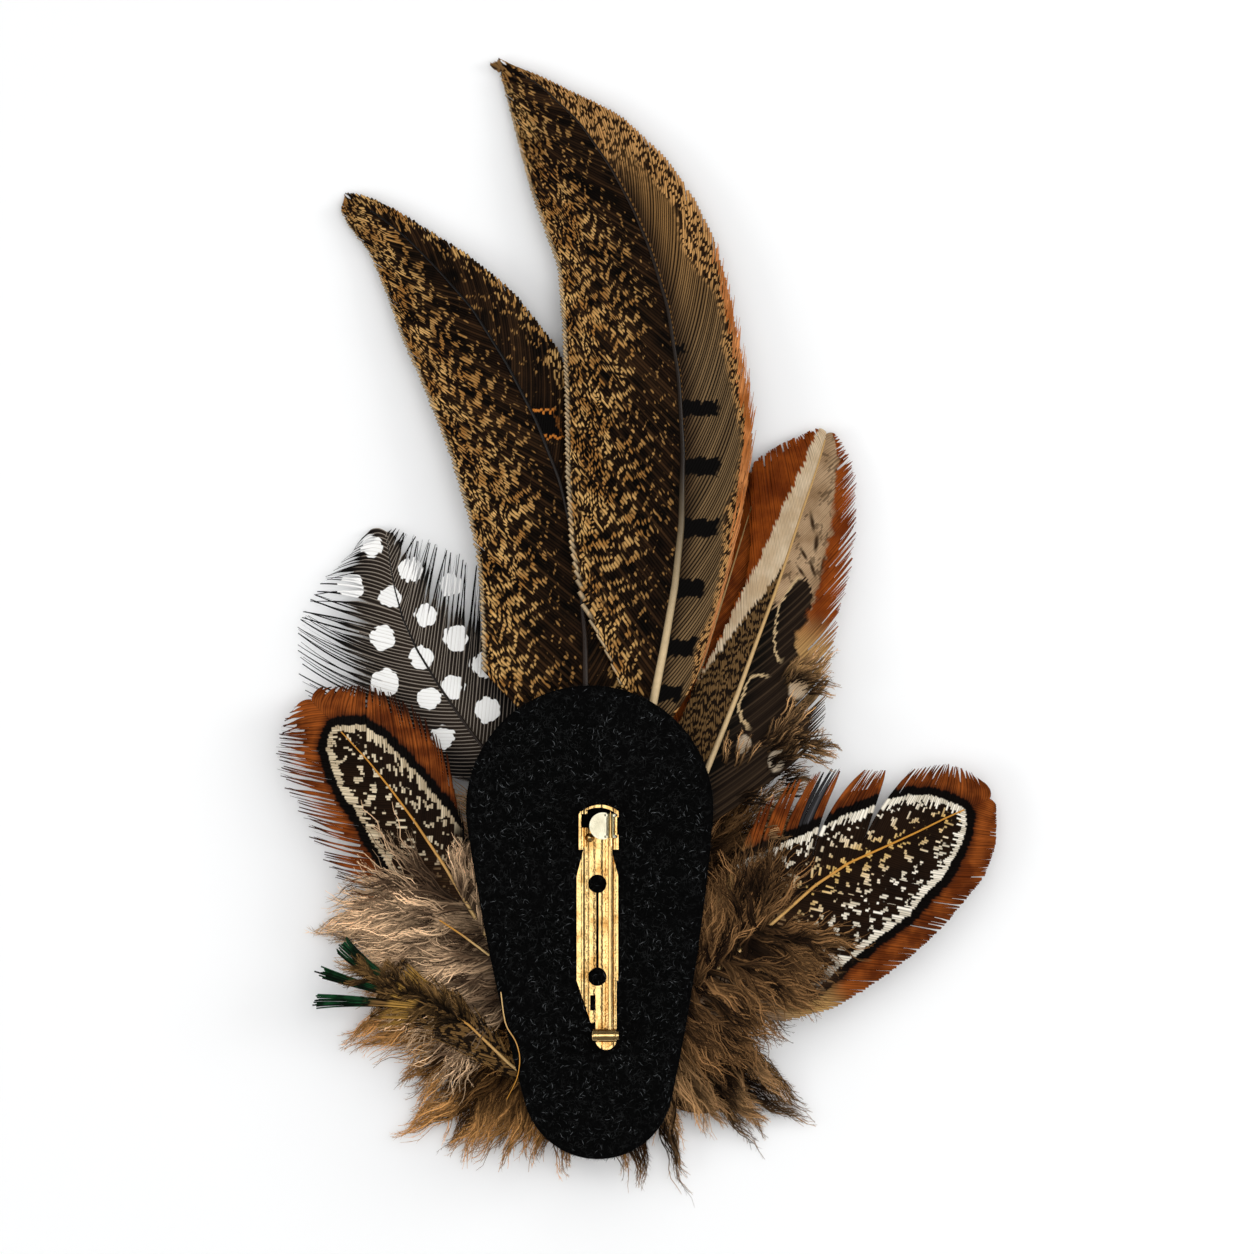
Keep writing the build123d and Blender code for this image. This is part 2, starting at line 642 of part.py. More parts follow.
def feather(root, length, lean, layer, droop, locks, fray, outline):
    """Thin cambered vane with a quill ridge. Its edges are notched into locks that lean to the tip."""
    lean = math.radians(lean)
    start = on_felt(root)
    along = (math.sin(lean), math.cos(lean))
    aside = (math.cos(lean), -math.sin(lean))

    def place(at, side):
        return [start[i] + along[i] * length * at + aside[i] * side for i in (0, 1)]

    loops = []
    stations = feather_stations(outline, locks)
    for number, at in enumerate(stations):
        left, quill, right = (value * length for value in between(outline, at))
        at_end = number in (0, len(stations) - 1)
        notched = number % 2 == 1 and number > 1
        full = 1 - fray if notched and not at_end else 1.0
        thick = QUILL_RADIUS + (QUILL_TIP_RADIUS - QUILL_RADIUS) * at
        least = thick * LEAST_HALF_WIDTH
        left = min(quill + (left - quill) * full, quill - least)
        right = max(quill + (right - quill) * full, quill + least)
        camber = 0.0 if at_end else VANE_CAMBER
        loop = []
        for side, rise in vane_section(left, quill, right, thick, camber):
            base = layer_height(layer, droop * length, *place(at, quill if at_end else side))
            loop.append((*place(at, side), base + rise))
        loops.append(loop)
    return skin_solid(loops)


def down_section(far, fullness, height):
    """Upright section of a clump as distance from the head's axis and height above the floor."""
    inner = DOWN_HEAD_RADIUS

    def top(away):
        return DOWN_TIP_HEIGHT + (height - DOWN_TIP_HEIGHT) * max(0.0, 1 - (away / DOWN_SPREAD) ** 3)

    low = 1 - DOWN_VALLEY * (1 - fullness)
    lift = DOWN_TIP_HEIGHT * DOWN_TIP_LIFT * fullness
    near_ring, far_ring = (far * share for share in DOWN_RINGS)
    return [
        (inner, top(inner)),
        (near_ring, top(near_ring) * low),
        (far_ring, top(far_ring) * low),
        (far, lift + DOWN_TIP_HEIGHT / 2),
        (far, lift),
        (far_ring, 0.0),
        (inner, 0.0),
    ]


def down_clump(sweep, locks, reaches, layer):
    """Fan of ridged locks fused to their head. Its loops stand upright through the head's axis."""
    part = math.degrees(DOWN_PART / DOWN_SPREAD)
    first = sweep[0] + part
    last = sweep[1] - part
    start, middle, end = (share * DOWN_SPREAD for share in reaches)
    height = TOP_LAYER - layer * LAYER_PITCH - QUILL_RADIUS - LAYER_GAP - FLOOR
    steps = [(lock + at, share, full) for lock in range(locks) for at, share, full in DOWN_LOCK]
    steps.append((locks, *DOWN_LOCK[0][1:]))
    x, y = on_felt(FLUFF_PLACE)
    loops = []
    for place, share, fullness in steps:
        turn = place / locks
        angle = math.radians(first + (last - first) * turn)
        bend = 4 * turn * (1 - turn)
        reach = (start + (end - start) * turn) * (1 - bend) + middle * bend
        uneven = 1 + DOWN_UNEVEN * math.sin(DOWN_UNEVEN_STEP * int(place) + sweep[0])
        far = reach * share * (uneven if fullness else 1.0)
        loops.append(
            [
                (x + away * math.cos(angle), y + away * math.sin(angle), FLOOR + up)
                for away, up in down_section(far, fullness, height)
            ]
        )
    return skin_solid(loops)


nodes = {
    "felt_backing": felt_backing(),
    "bar_plate": bar_plate(),
    "hinge_rivet": hinge_rivet(),
    "pin_needle": pin_needle(),
    "catch_lock": catch_lock(),
}
for name, facts in FEATHERS.items():
    nodes[name] = feather(**facts)
for name, facts in DOWN_CLUMPS.items():
    nodes[name] = down_clump(**facts)

os.makedirs("parts", exist_ok=True)
for name, shape in nodes.items():
    export_step(shape, f"parts/{name}.step")
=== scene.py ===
import math

import bpy
import numpy as np
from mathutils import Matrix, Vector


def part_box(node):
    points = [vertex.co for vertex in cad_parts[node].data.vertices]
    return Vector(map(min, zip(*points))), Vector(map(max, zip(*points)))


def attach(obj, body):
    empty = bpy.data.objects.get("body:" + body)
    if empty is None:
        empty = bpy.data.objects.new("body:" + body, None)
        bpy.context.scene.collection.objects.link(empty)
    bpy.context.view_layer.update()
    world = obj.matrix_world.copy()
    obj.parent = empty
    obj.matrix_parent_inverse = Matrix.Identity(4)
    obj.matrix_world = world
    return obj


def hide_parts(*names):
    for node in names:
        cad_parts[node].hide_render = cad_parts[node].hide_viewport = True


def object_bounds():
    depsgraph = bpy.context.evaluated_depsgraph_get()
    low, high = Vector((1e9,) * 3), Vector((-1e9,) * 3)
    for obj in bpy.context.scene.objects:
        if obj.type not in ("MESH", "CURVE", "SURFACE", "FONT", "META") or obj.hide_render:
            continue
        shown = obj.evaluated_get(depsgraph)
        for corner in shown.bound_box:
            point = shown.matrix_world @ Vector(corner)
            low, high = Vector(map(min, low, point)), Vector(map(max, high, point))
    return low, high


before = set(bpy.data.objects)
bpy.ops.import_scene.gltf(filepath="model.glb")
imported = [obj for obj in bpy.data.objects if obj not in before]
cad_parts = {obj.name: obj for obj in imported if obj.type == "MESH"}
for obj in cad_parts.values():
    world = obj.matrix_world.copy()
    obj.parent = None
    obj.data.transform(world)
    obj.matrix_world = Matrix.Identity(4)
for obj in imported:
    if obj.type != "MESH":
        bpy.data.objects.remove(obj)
CAD_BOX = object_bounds()

# Metres throughout. The frame is the CAD's: origin on the needle's axis, +Y up the plume, +Z out of its back.
MM = 0.001
SEED = 11

# Heights read from the frame
FLOOR = CAD_BOX[0].z
FELT_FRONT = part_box("felt_backing")[0].z
FELT_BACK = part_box("felt_backing")[1].z

# Felt outline, the sizes of its solid
FELT_TOP_RADIUS = 16.1 * MM
FELT_BOTTOM_RADIUS = 9.8 * MM
FELT_CENTRES = 35.8 * MM
FELT_SIDE_RADIUS = 300 * MM
FELT_TOP_CENTRE = (-2.7 * MM, 15.2 * MM)
FELT_LEAN = 1.7
FELT_EDGE_ROUND = 0.4 * MM
FELT_RIPPLE = 0.05 * MM
FELT_FIBRES = 15000
FELT_EDGE_FIBRES = 1500
FELT_PALE_SHARE = 0.07

# Feathers, the sizes of their solids, and the place on the felt that the down fans out from
VANE_THICKNESS = 0.5 * MM
VANE_CAMBER = 0.5 * MM
CAMBER_MIDWAY = 0.3
QUILL_RADIUS = 0.55 * MM
LAYER_PITCH = 1.45 * MM
LAYER_GAP = 0.3 * MM
TOP_LAYER = FELT_FRONT - LAYER_GAP - QUILL_RADIUS
FLUFF_PLACE = (0.043, -0.48)

# Down, the sizes of its solids, and the share of a clump's sweep that each of its sides takes up
DOWN_TIP_HEIGHT = 1.0 * MM
DOWN_SPREAD = 42 * MM
DOWN_HEAD_RADIUS = 2.5 * MM
DOWN_PART = 0.20

# Barbs: points along one, height of its middle line, tilt over its neighbour in degrees, usual distance
# between the tail feathers' barbs in millimetres, share of its width that a barb usually loses past its
# zipped part, depth of the web under them, and the widest gap that the web usually spans, in spacings
BARB_STEPS = 21
BARB_RIDGE = 0.03 * MM
BARB_TILT = 14
BARB_PITCH = 0.58
USUAL_PARTING = 0.52
WEB_DEPTH = 0.09 * MM
USUAL_WEBBED = 2.4

# Soft barbs and strands: points along one, width, and least height over the floor
SOFT_STEPS = 11
SOFT_WIDTH = 0.15 * MM
OVER_FLOOR = 0.1 * MM

# Points along a quill, along a stray fibre and round the felt's wall
QUILL_STEPS = 90
STRAY_STEPS = 25
WALL_STEPS = 300

# Tufts in each lock of down and strands in each tuft
DOWN_TUFTS_A_LOCK = 8
DOWN_STRANDS_A_TUFT = 38

# Camera over the photo's middle, on a long lens, with the photo's scale at a level inside the plume
VIEW_CENTRE = (2.155 * MM, 38.92 * MM)
VIEW_SIDE = 163.8 * MM
SCALE_LEVEL = -8 * MM
LENS = 400.0
SENSOR = 36.0

# Each feather: place of its root on the felt, length, lean to the right of straight up in degrees, layer
# counted down from the felt, and distance at which it droops to the floor as a share of its length.
# Each row of its outline: share of the length from the root, then left edge, quill and right edge beside
# the straight line from root to tip, as shares of the length.
FEATHERS = {
    "tail_feather_tall": dict(
        root=(0.407, 0.140), length=95.0 * MM, lean=-11.3, layer=0, droop=1.242,
        outline=(
            (0.00, -0.006, 0.000, 0.006),
            (0.10, 0.000, 0.041, 0.100),
            (0.16, -0.012, 0.066, 0.132),
            (0.24, -0.034, 0.097, 0.172),
            (0.32, -0.034, 0.122, 0.208),
            (0.42, -0.020, 0.144, 0.242),
            (0.52, -0.001, 0.158, 0.248),
            (0.62, 0.015, 0.162, 0.249),
            (0.70, 0.025, 0.154, 0.243),
            (0.76, 0.016, 0.142, 0.226),
            (0.82, 0.008, 0.124, 0.200),
            (0.89, 0.004, 0.094, 0.150),
            (0.95, 0.001, 0.052, 0.072),
            (1.00, -0.003, 0.000, 0.004),
        ),
    ),
    "tail_feather_left": dict(
        root=(-0.031, 0.067), length=84.3 * MM, lean=-22.1, layer=1, droop=1.234,
        outline=(
            (0.00, -0.006, 0.000, 0.006),
            (0.08, -0.070, 0.033, 0.085),
            (0.15, -0.098, 0.060, 0.135),
            (0.22, -0.083, 0.088, 0.175),
            (0.30, -0.053, 0.113, 0.205),
            (0.38, -0.025, 0.131, 0.220),
            (0.46, -0.009, 0.143, 0.225),
            (0.56, 0.000, 0.144, 0.224),
            (0.66, 0.002, 0.135, 0.215),
            (0.76, -0.001, 0.117, 0.186),
            (0.84, 0.003, 0.089, 0.142),
            (0.90, 0.002, 0.064, 0.098),
            (0.95, -0.012, 0.036, 0.062),
            (0.98, -0.015, 0.012, 0.034),
            (1.00, -0.005, 0.000, 0.012),
        ),
    ),
    "buff_feather_right": dict(
        root=(0.665, -0.170), length=59.4 * MM, lean=20.1, layer=1, droop=1.313,
        outline=(
            (0.00, -0.010, 0.000, 0.010),
            (0.12, -0.060, 0.004, 0.100),
            (0.25, -0.085, 0.010, 0.190),
            (0.38, -0.080, 0.014, 0.215),
            (0.50, -0.062, 0.014, 0.185),
            (0.62, -0.055, 0.015, 0.163),
            (0.72, -0.075, 0.013, 0.154),
            (0.80, -0.110, 0.010, 0.137),
            (0.87, -0.130, 0.009, 0.114),
            (0.93, -0.088, 0.007, 0.086),
            (0.98, -0.035, 0.003, 0.045),
            (1.00, -0.010, 0.000, 0.012),
        ),
    ),
    "chestnut_feather_left": dict(
        root=(-0.565, -0.662), length=47.2 * MM, lean=-35.9, layer=1, droop=1.525,
        outline=(
            (0.00, -0.010, 0.000, 0.010),
            (0.12, -0.100, 0.009, 0.050),
            (0.25, -0.190, 0.018, 0.070),
            (0.40, -0.235, 0.032, 0.120),
            (0.55, -0.225, 0.037, 0.175),
            (0.66, -0.215, 0.036, 0.222),
            (0.76, -0.200, 0.031, 0.224),
            (0.85, -0.190, 0.020, 0.205),
            (0.92, -0.160, 0.010, 0.165),
            (0.97, -0.115, 0.003, 0.100),
            (1.00, -0.050, 0.000, 0.040),
        ),
    ),
    "spotted_feather": dict(
        root=(-0.528, 0.031), length=39.7 * MM, lean=-27.4, layer=2, droop=1.562,
        outline=(
            (0.00, -0.012, 0.000, 0.012),
            (0.15, -0.140, -0.030, 0.100),
            (0.30, -0.310, -0.057, 0.200),
            (0.45, -0.420, -0.077, 0.260),
            (0.60, -0.460, -0.088, 0.260),
            (0.72, -0.455, -0.082, 0.225),
            (0.82, -0.420, -0.060, 0.170),
            (0.90, -0.340, -0.035, 0.110),
            (0.96, -0.230, -0.012, 0.055),
            (1.00, -0.090, 0.000, 0.020),
        ),
    ),
    "rufous_feather": dict(
        root=(0.571, 0.031), length=46.2 * MM, lean=17.3, layer=2, droop=1.515,
        outline=(
            (0.00, -0.012, 0.000, 0.012),
            (0.15, -0.090, 0.000, 0.060),
            (0.35, -0.140, 0.000, 0.100),
            (0.55, -0.150, 0.000, 0.110),
            (0.75, -0.130, 0.000, 0.100),
            (0.88, -0.090, 0.000, 0.070),
            (0.96, -0.045, 0.000, 0.038),
            (1.00, -0.010, 0.000, 0.010),
        ),
    ),
    "chestnut_feather_right": dict(
        root=(0.571, -0.735), length=51.7 * MM, lean=57.5, layer=0, droop=1.277,
        outline=(
            (0.00, -0.010, 0.000, 0.010),
            (0.12, -0.080, -0.004, 0.100),
            (0.25, -0.140, -0.018, 0.190),
            (0.38, -0.225, -0.037, 0.232),
            (0.50, -0.300, -0.056, 0.232),
            (0.60, -0.310, -0.058, 0.226),
            (0.70, -0.275, -0.043, 0.210),
            (0.79, -0.215, -0.030, 0.183),
            (0.87, -0.168, -0.021, 0.158),
            (0.94, -0.140, -0.010, 0.105),
            (0.98, -0.095, -0.004, 0.045),
            (1.00, -0.045, 0.000, 0.010),
        ),
    ),
    "green_feather": dict(
        root=(-0.323, -1.045), length=34.5 * MM, lean=-61.3, layer=0, droop=1.913,
        outline=(
            (0.00, -0.015, 0.000, 0.015),
            (0.20, -0.020, 0.034, 0.080),
            (0.40, -0.020, 0.088, 0.150),
            (0.60, -0.030, 0.096, 0.180),
            (0.75, -0.065, 0.075, 0.175),
            (0.88, -0.100, 0.045, 0.155),
            (0.95, -0.128, 0.020, 0.158),
            (1.00, -0.100, 0.000, 0.140),
        ),
    ),
}

# How the barbs of each feather lie. spacing: between barbs along the quill, left and right. lean: of the left
# and the right barbs from the quill, in degrees. zipped: share of a barb up to which it holds to its
# neighbours, left and right. ragged: spread of the tips, as a share of the feather's length, left and right.
# wear: spread of the zipped share from barb to barb. splits: side (-1 left, 1 right), share of the length,
# half the width of the gap and its reach along the vane as shares of the length. pointed: whether the last
# barbs close on the quill. parting: share of its width that a barb loses past its zipped part. webbed:
# widest gap that the web spans, in spacings. stop: share of the length that no barb passes.
BARBS = {
    "tail_feather_tall": dict(
        spacing=(0.56 * MM, 0.70 * MM), lean=(36, 26), zipped=(0.99, 0.985), ragged=(0.0006, 0.0006),
        wear=0.02, pointed=True,
        splits=((1, 0.775, 0.004, 0.02), (1, 0.40, 0.003, 0.03), (1, 0.30, 0.004, 0.03)),
    ),
    "tail_feather_left": dict(
        spacing=(0.54 * MM, 0.66 * MM), lean=(36, 27), zipped=(0.985, 0.985), ragged=(0.0008, 0.0008),
        wear=0.02, pointed=True, splits=(),
    ),
    "buff_feather_right": dict(
        spacing=(0.42 * MM, 0.46 * MM), lean=(26, 28), zipped=(0.97, 0.84), ragged=(0.003, 0.004), wear=0.06,
        splits=(
            (1, 0.50, 0.010, 0.03),
            (-1, 0.50, 0.005, 0.03),
            (1, 0.62, 0.010, 0.03),
            (1, 0.74, 0.008, 0.02),
        ),
    ),
    "chestnut_feather_left": dict(
        spacing=(0.38 * MM, 0.44 * MM), lean=(50, 36), zipped=(0.66, 0.84), ragged=(0.010, 0.006), wear=0.08,
        splits=(
            (-1, 0.64, 0.026, 0.02),
            (-1, 0.59, 0.016, 0.015),
            (-1, 0.53, 0.016, 0.02),
            (1, 0.62, 0.006, 0.03),
        ),
    ),
    "spotted_feather": dict(
        spacing=(0.56 * MM, 0.66 * MM), lean=(46, 34), zipped=(0.50, 0.50), ragged=(0.012, 0.012), wear=0.10,
        splits=(), parting=0.66,
    ),
    "rufous_feather": dict(
        spacing=(0.40 * MM, 0.40 * MM), lean=(24, 24), zipped=(0.86, 0.8), ragged=(0.012, 0.012), wear=0.06,
        splits=((-1, 0.4, 0.02, 0.05), (1, 0.5, 0.02, 0.05)),
    ),
    "chestnut_feather_right": dict(
        spacing=(0.38 * MM, 0.38 * MM), lean=(42, 46), zipped=(0.86, 0.975), ragged=(0.004, 0.0012),
        wear=0.03, webbed=1.75,
        splits=(
            (-1, 0.56, 0.026, 0.018),
            (-1, 0.63, 0.018, 0.016),
            (-1, 0.685, 0.014, 0.014),
            (-1, 0.74, 0.028, 0.020),
            (-1, 0.835, 0.036, 0.025),
            (1, 0.50, 0.0040, 0.008),
            (1, 0.585, 0.0034, 0.008),
            (1, 0.63, 0.0050, 0.010),
            (1, 0.70, 0.0036, 0.008),
            (1, 0.735, 0.0045, 0.008),
            (1, 0.80, 0.0036, 0.008),
            (1, 0.87, 0.0050, 0.010),
            (-1, 0.93, 0.0045, 0.008),
        ),
    ),
    "green_feather": dict(
        spacing=(0.32 * MM, 0.32 * MM), lean=(24, 26), zipped=(0.6, 0.6), ragged=(0.02, 0.02), wear=0.06,
        splits=(), stop=0.74,
    ),
}

# Loose strands at the base of a feather, in bunches. span: shares of the length between which they grow.
# bunches: how many. reach: of the left and right strands. lean: from the quill in degrees, left and right,
# each at the base and at the top of the span. start: how far out they begin, as shares of the reach. tone:
# the down that they match.
FLUFF = {
    "chestnut_feather_left": dict(
        span=(-0.04, 0.33), bunches=150, reach=(17 * MM, 8 * MM), lean=((94, 62), (50, 30)),
        start=(0.0, 0.5), tone="grey",
    ),
    "chestnut_feather_right": dict(
        span=(0.0, 0.34), bunches=150, reach=(13 * MM, 13 * MM), lean=((60, 46), (84, 62)),
        start=(-0.15, 0.5), tone="dark",
    ),
    "buff_feather_right": dict(
        span=(0.0, 0.36), bunches=26, reach=(0, 11 * MM), lean=((40, 30), (58, 44)),
        start=(0.90, 1.10), tone="brown",
    ),
    "green_feather": dict(
        span=(0.35, 0.80), bunches=42, reach=(5 * MM, 5 * MM), lean=((30, 20), (34, 24)),
        start=(0.0, 0.4), tone="olive",
    ),
}
STRANDS_A_BUNCH = 16

# How far the last barb stands from a feather's end and the web from the zipped barbs' ends, as shares
STOP_SHORT = 0.01
WEB_SHORT = 0.03

# Rufous fringe on the tall feather's right edge: shares of the length, strands, their length and their lean
# to the right of straight up in degrees
FRINGE_SPAN = (0.27, 0.70)
FRINGE_COUNT = 150
FRINGE_LENGTH = (3.5 * MM, 6.5 * MM)
FRINGE_LEAN = 19.0

# Bundles of squared barb tips on the green feather: place beside the chord where they come out of the fluff
# and where they end, half width, and place along the chord where they end, all as shares of its length
GREEN_BUNDLES = ((-0.022, -0.110, 0.026, 0.945), (0.026, -0.006, 0.018, 0.985), (0.066, 0.122, 0.034, 0.965))
GREEN_BARBS = 15
GREEN_FLUFF_END = 0.80

# Each clump of down fans out from the shared head: first and last direction in degrees, number of locks,
# reach at the first, middle and last lock as shares of the spread, the lowest feather layer over it, its
# tone, what is left of the reach at its first and last side, and how far its dense core goes as a share of
# the reach.
DOWN_CLUMPS = {
    "down_right": dict(
        sweep=(-27.0, 47.0), locks=9, reaches=(0.86, 0.81, 0.79), layer=1, tone="dark", sides=(0.55, 1.0),
        core_reach=0.80,
    ),
    "down_top": dict(
        sweep=(47.0, 148.0), locks=10, reaches=(0.71, 0.62, 0.71), layer=2, tone="grey", sides=(1.0, 1.0),
        core_reach=0.90,
    ),
    "down_left": dict(
        sweep=(148.0, 196.0), locks=7, reaches=(0.81, 0.87, 0.81), layer=1, tone="grey", sides=(1.0, 1.0),
        core_reach=0.66,
    ),
    "down_bottom_left": dict(
        sweep=(196.0, 248.0), locks=7, reaches=(0.83, 0.90, 0.81), layer=1, tone="golden", sides=(1.0, 1.0),
        core_reach=0.70,
    ),
    "down_bottom": dict(
        sweep=(246.0, 285.0), locks=7, reaches=(0.77, 0.70, 0.76), layer=0, tone="golden", sides=(1.0, 1.0),
        core_reach=0.90,
    ),
    "down_bottom_right": dict(
        sweep=(285.0, 333.0), locks=8, reaches=(0.74, 0.87, 0.81), layer=0, tone="brown", sides=(0.86, 0.60),
        core_reach=0.76,
    ),
}

# A thin second quill in the fluff at the left and a loose fibre along the felt's lower left edge, as points
# in the frame in millimetres
STRAY_QUILL = ((-15.8, -3.9, -5.2), (-19.4, -1.2, -4.8), (-22.3, 0.7, -4.9))
STRAY_FIBRE = (
    (-15.4, -5.0, -4.5),
    (-14.4, -7.2, -2.2),
    (-13.8, -12.9, -1.9),
    (-12.3, -14.9, -1.9),
    (-11.7, -17.2, -1.9),
    (-12.1, -19.9, -1.9),
    (-13.5, -22.6, -3.5),
)

# Cream edge of the eye on each chestnut feather: share of the length, left and right of the chord
EYES = {
    "chestnut_feather_left": (
        (0.40, -0.100, 0.132),
        (0.58, -0.089, 0.125),
        (0.66, -0.078, 0.119),
        (0.73, -0.080, 0.111),
        (0.79, -0.067, 0.101),
        (0.85, -0.046, 0.078),
        (0.88, -0.015, 0.037),
        (0.89, 0.005, 0.012),
    ),
    "chestnut_feather_right": (
        (0.36, -0.210, 0.166),
        (0.45, -0.195, 0.150),
        (0.55, -0.180, 0.142),
        (0.66, -0.165, 0.134),
        (0.72, -0.150, 0.116),
        (0.78, -0.138, 0.102),
        (0.82, -0.120, 0.082),
        (0.87, -0.082, 0.054),
        (0.905, -0.045, 0.018),
        (0.918, -0.020, 0.000),
    ),
}

# Marks on the buff feather's right vane, in millimetres: place in the frame, half width, half length, lean to
# the right in degrees, and kind: dark and ringed in cream, a pale patch or a faint dark streak
BUFF_MARKS = (
    (23.9, 40.2, 1.9, 5.2, 14.0, "ringed"),
    (26.4, 52.6, 0.30, 1.3, -10.0, "streak"),
    (26.9, 49.8, 0.34, 1.4, 6.0, "streak"),
    (25.3, 48.4, 0.26, 1.1, -30.0, "streak"),
    (24.9, 46.2, 0.26, 1.0, -34.0, "streak"),
    (26.4, 46.6, 0.28, 1.3, -18.0, "streak"),
    (27.8, 47.2, 0.28, 1.2, 12.0, "streak"),
    (19.6, 29.2, 2.4, 3.4, 20.0, "ringed"),
    (24.6, 31.2, 1.3, 1.9, 20.0, "pale"),
    (21.8, 21.6, 1.2, 1.6, 20.0, "pale"),
    (17.4, 23.6, 0.9, 1.3, 20.0, "pale"),
)

# Black bars on the right vane of each tail feather, in millimetres: height in the frame, depth and width
TALL_BARS = (
    (75.1, 1.2, 1.4),
    (67.4, 1.9, 5.1),
    (59.8, 2.3, 4.9),
    (51.8, 2.4, 4.9),
    (44.0, 2.4, 4.3),
    (36.3, 2.4, 4.3),
    (30.3, 2.0, 3.6),
)
LEFT_BARS = ((65.4, 3.0, 2.6),)

# Creases pressed along the bar, in millimetres: place across it, half width, and height
BAR_CREASES = (
    (-3.6, 0.35, -0.06),
    (-2.95, 0.25, 0.07),
    (-1.85, 0.50, 0.035),
    (-0.9, 0.40, 0.04),
    (0.55, 0.30, 0.05),
)

# White spots of the spotted feather: place in the frame and radius
WHITE_SPOTS = (
    (-31.3, 49.4, 1.3),
    (-34.0, 44.1, 1.7),
    (-28.9, 42.8, 1.4),
    (-24.1, 40.5, 1.4),
    (-29.8, 37.6, 1.55),
    (-20.2, 37.5, 1.6),
    (-24.7, 34.9, 1.5),
    (-29.5, 31.6, 1.8),
    (-20.7, 31.1, 1.45),
    (-23.7, 29.6, 1.45),
    (-16.6, 34.0, 1.6),
    (-16.1, 28.1, 1.7),
    (-22.0, 24.4, 1.5),
    (-26.2, 46.4, 1.5),
    (-20.9, 44.4, 1.4),
)


def on_felt(place):
    """The x and y of a place on the felt."""
    return FELT_TOP_CENTRE[0] + place[0] * FELT_TOP_RADIUS, FELT_TOP_CENTRE[1] + place[1] * FELT_CENTRES


FLUFF_CENTRE = on_felt(FLUFF_PLACE)


def layer_height(layer, reach, x, y):
    """Height of a feather's quill at a place: level under the felt, drooping to the floor at its reach."""
    top = TOP_LAYER - layer * LAYER_PITCH
    away = np.hypot(x - FLUFF_CENTRE[0], y - FLUFF_CENTRE[1])
    rest = FLOOR + VANE_THICKNESS
    return rest + (top - rest) * np.maximum(0.0, 1 - (away / reach) ** 2)


def rounded(values, width):
    """Evenly sampled values smoothed over a number of samples, with their ends kept."""
    bell = np.hanning(2 * width + 3)[1:-1]
    padded = np.pad(values, width, mode="reflect", reflect_type="odd")
    return np.convolve(padded, bell / bell.sum(), mode="valid")


class Plan:
    """A feather's plan: its chord, smoothed outline and height."""

    SAMPLES = 401

    def __init__(self, root, length, lean, layer, droop, outline):
        self.start = on_felt(root)
        self.length = length
        lean = math.radians(lean)
        self.along = (math.sin(lean), math.cos(lean))
        self.aside = (math.cos(lean), -math.sin(lean))
        self.layer = layer
        self.reach = droop * length
        rows = np.array(outline)
        self.at = np.linspace(0, 1, self.SAMPLES)
        columns = [rounded(np.interp(self.at, rows[:, 0], rows[:, i]), 7) * length for i in (1, 2, 3)]
        self.left, self.quill, self.right = columns

    def quill_at(self, at):
        return np.interp(at, self.at, self.quill)

    def edge_at(self, at, side):
        return np.interp(at, self.at, self.left if side < 0 else self.right)

    def place(self, along, aside):
        """The x and y of a point given along and beside the chord."""
        return [self.start[i] + self.along[i] * along + self.aside[i] * aside for i in (0, 1)]

    def height(self, x, y):
        return layer_height(self.layer, self.reach, x, y)


def grid_faces(rows, columns, closed=False, copies=1):
    """Faces of one or more grids of points in rows, with each row closed into a ring or left open."""
    across = np.arange(columns if closed else columns - 1)
    beside = (across + 1) % columns
    start = (np.arange(copies)[:, None] * rows + np.arange(rows - 1)).reshape(-1, 1) * columns
    corners = (start + across, start + beside, start + columns + beside, start + columns + across)
    return np.stack(corners, axis=-1).reshape(-1, 4)


def as_maps(shape, **pairs):
    """Surface maps of one shape from pairs of values."""
    maps = {}
    for name, pair in pairs.items():
        maps[name] = np.stack([np.broadcast_to(value, shape) for value in pair], axis=-1)
    return maps


def unit(vectors):
    """Vectors of length one."""
    return vectors / np.maximum(np.linalg.norm(vectors, axis=-1, keepdims=True), 1e-9)


def heading(angle):
    """Level directions from their angles."""
    return np.stack([np.cos(angle), np.sin(angle)], axis=-1)


def directions(middle):
    """Directions along paths (b, n, 3), and level ones square to them."""
    tangent = unit(np.gradient(middle, axis=1))
    return tangent, unit(np.cross((0, 0, 1), tangent))


def bowed(start, bend, end, v):
    """Paths (b, n, 2) from start to end that lean towards bend on the way."""
    return start[:, None] * (1 - v) ** 2 + 2 * bend[:, None] * v * (1 - v) + end[:, None] * v**2


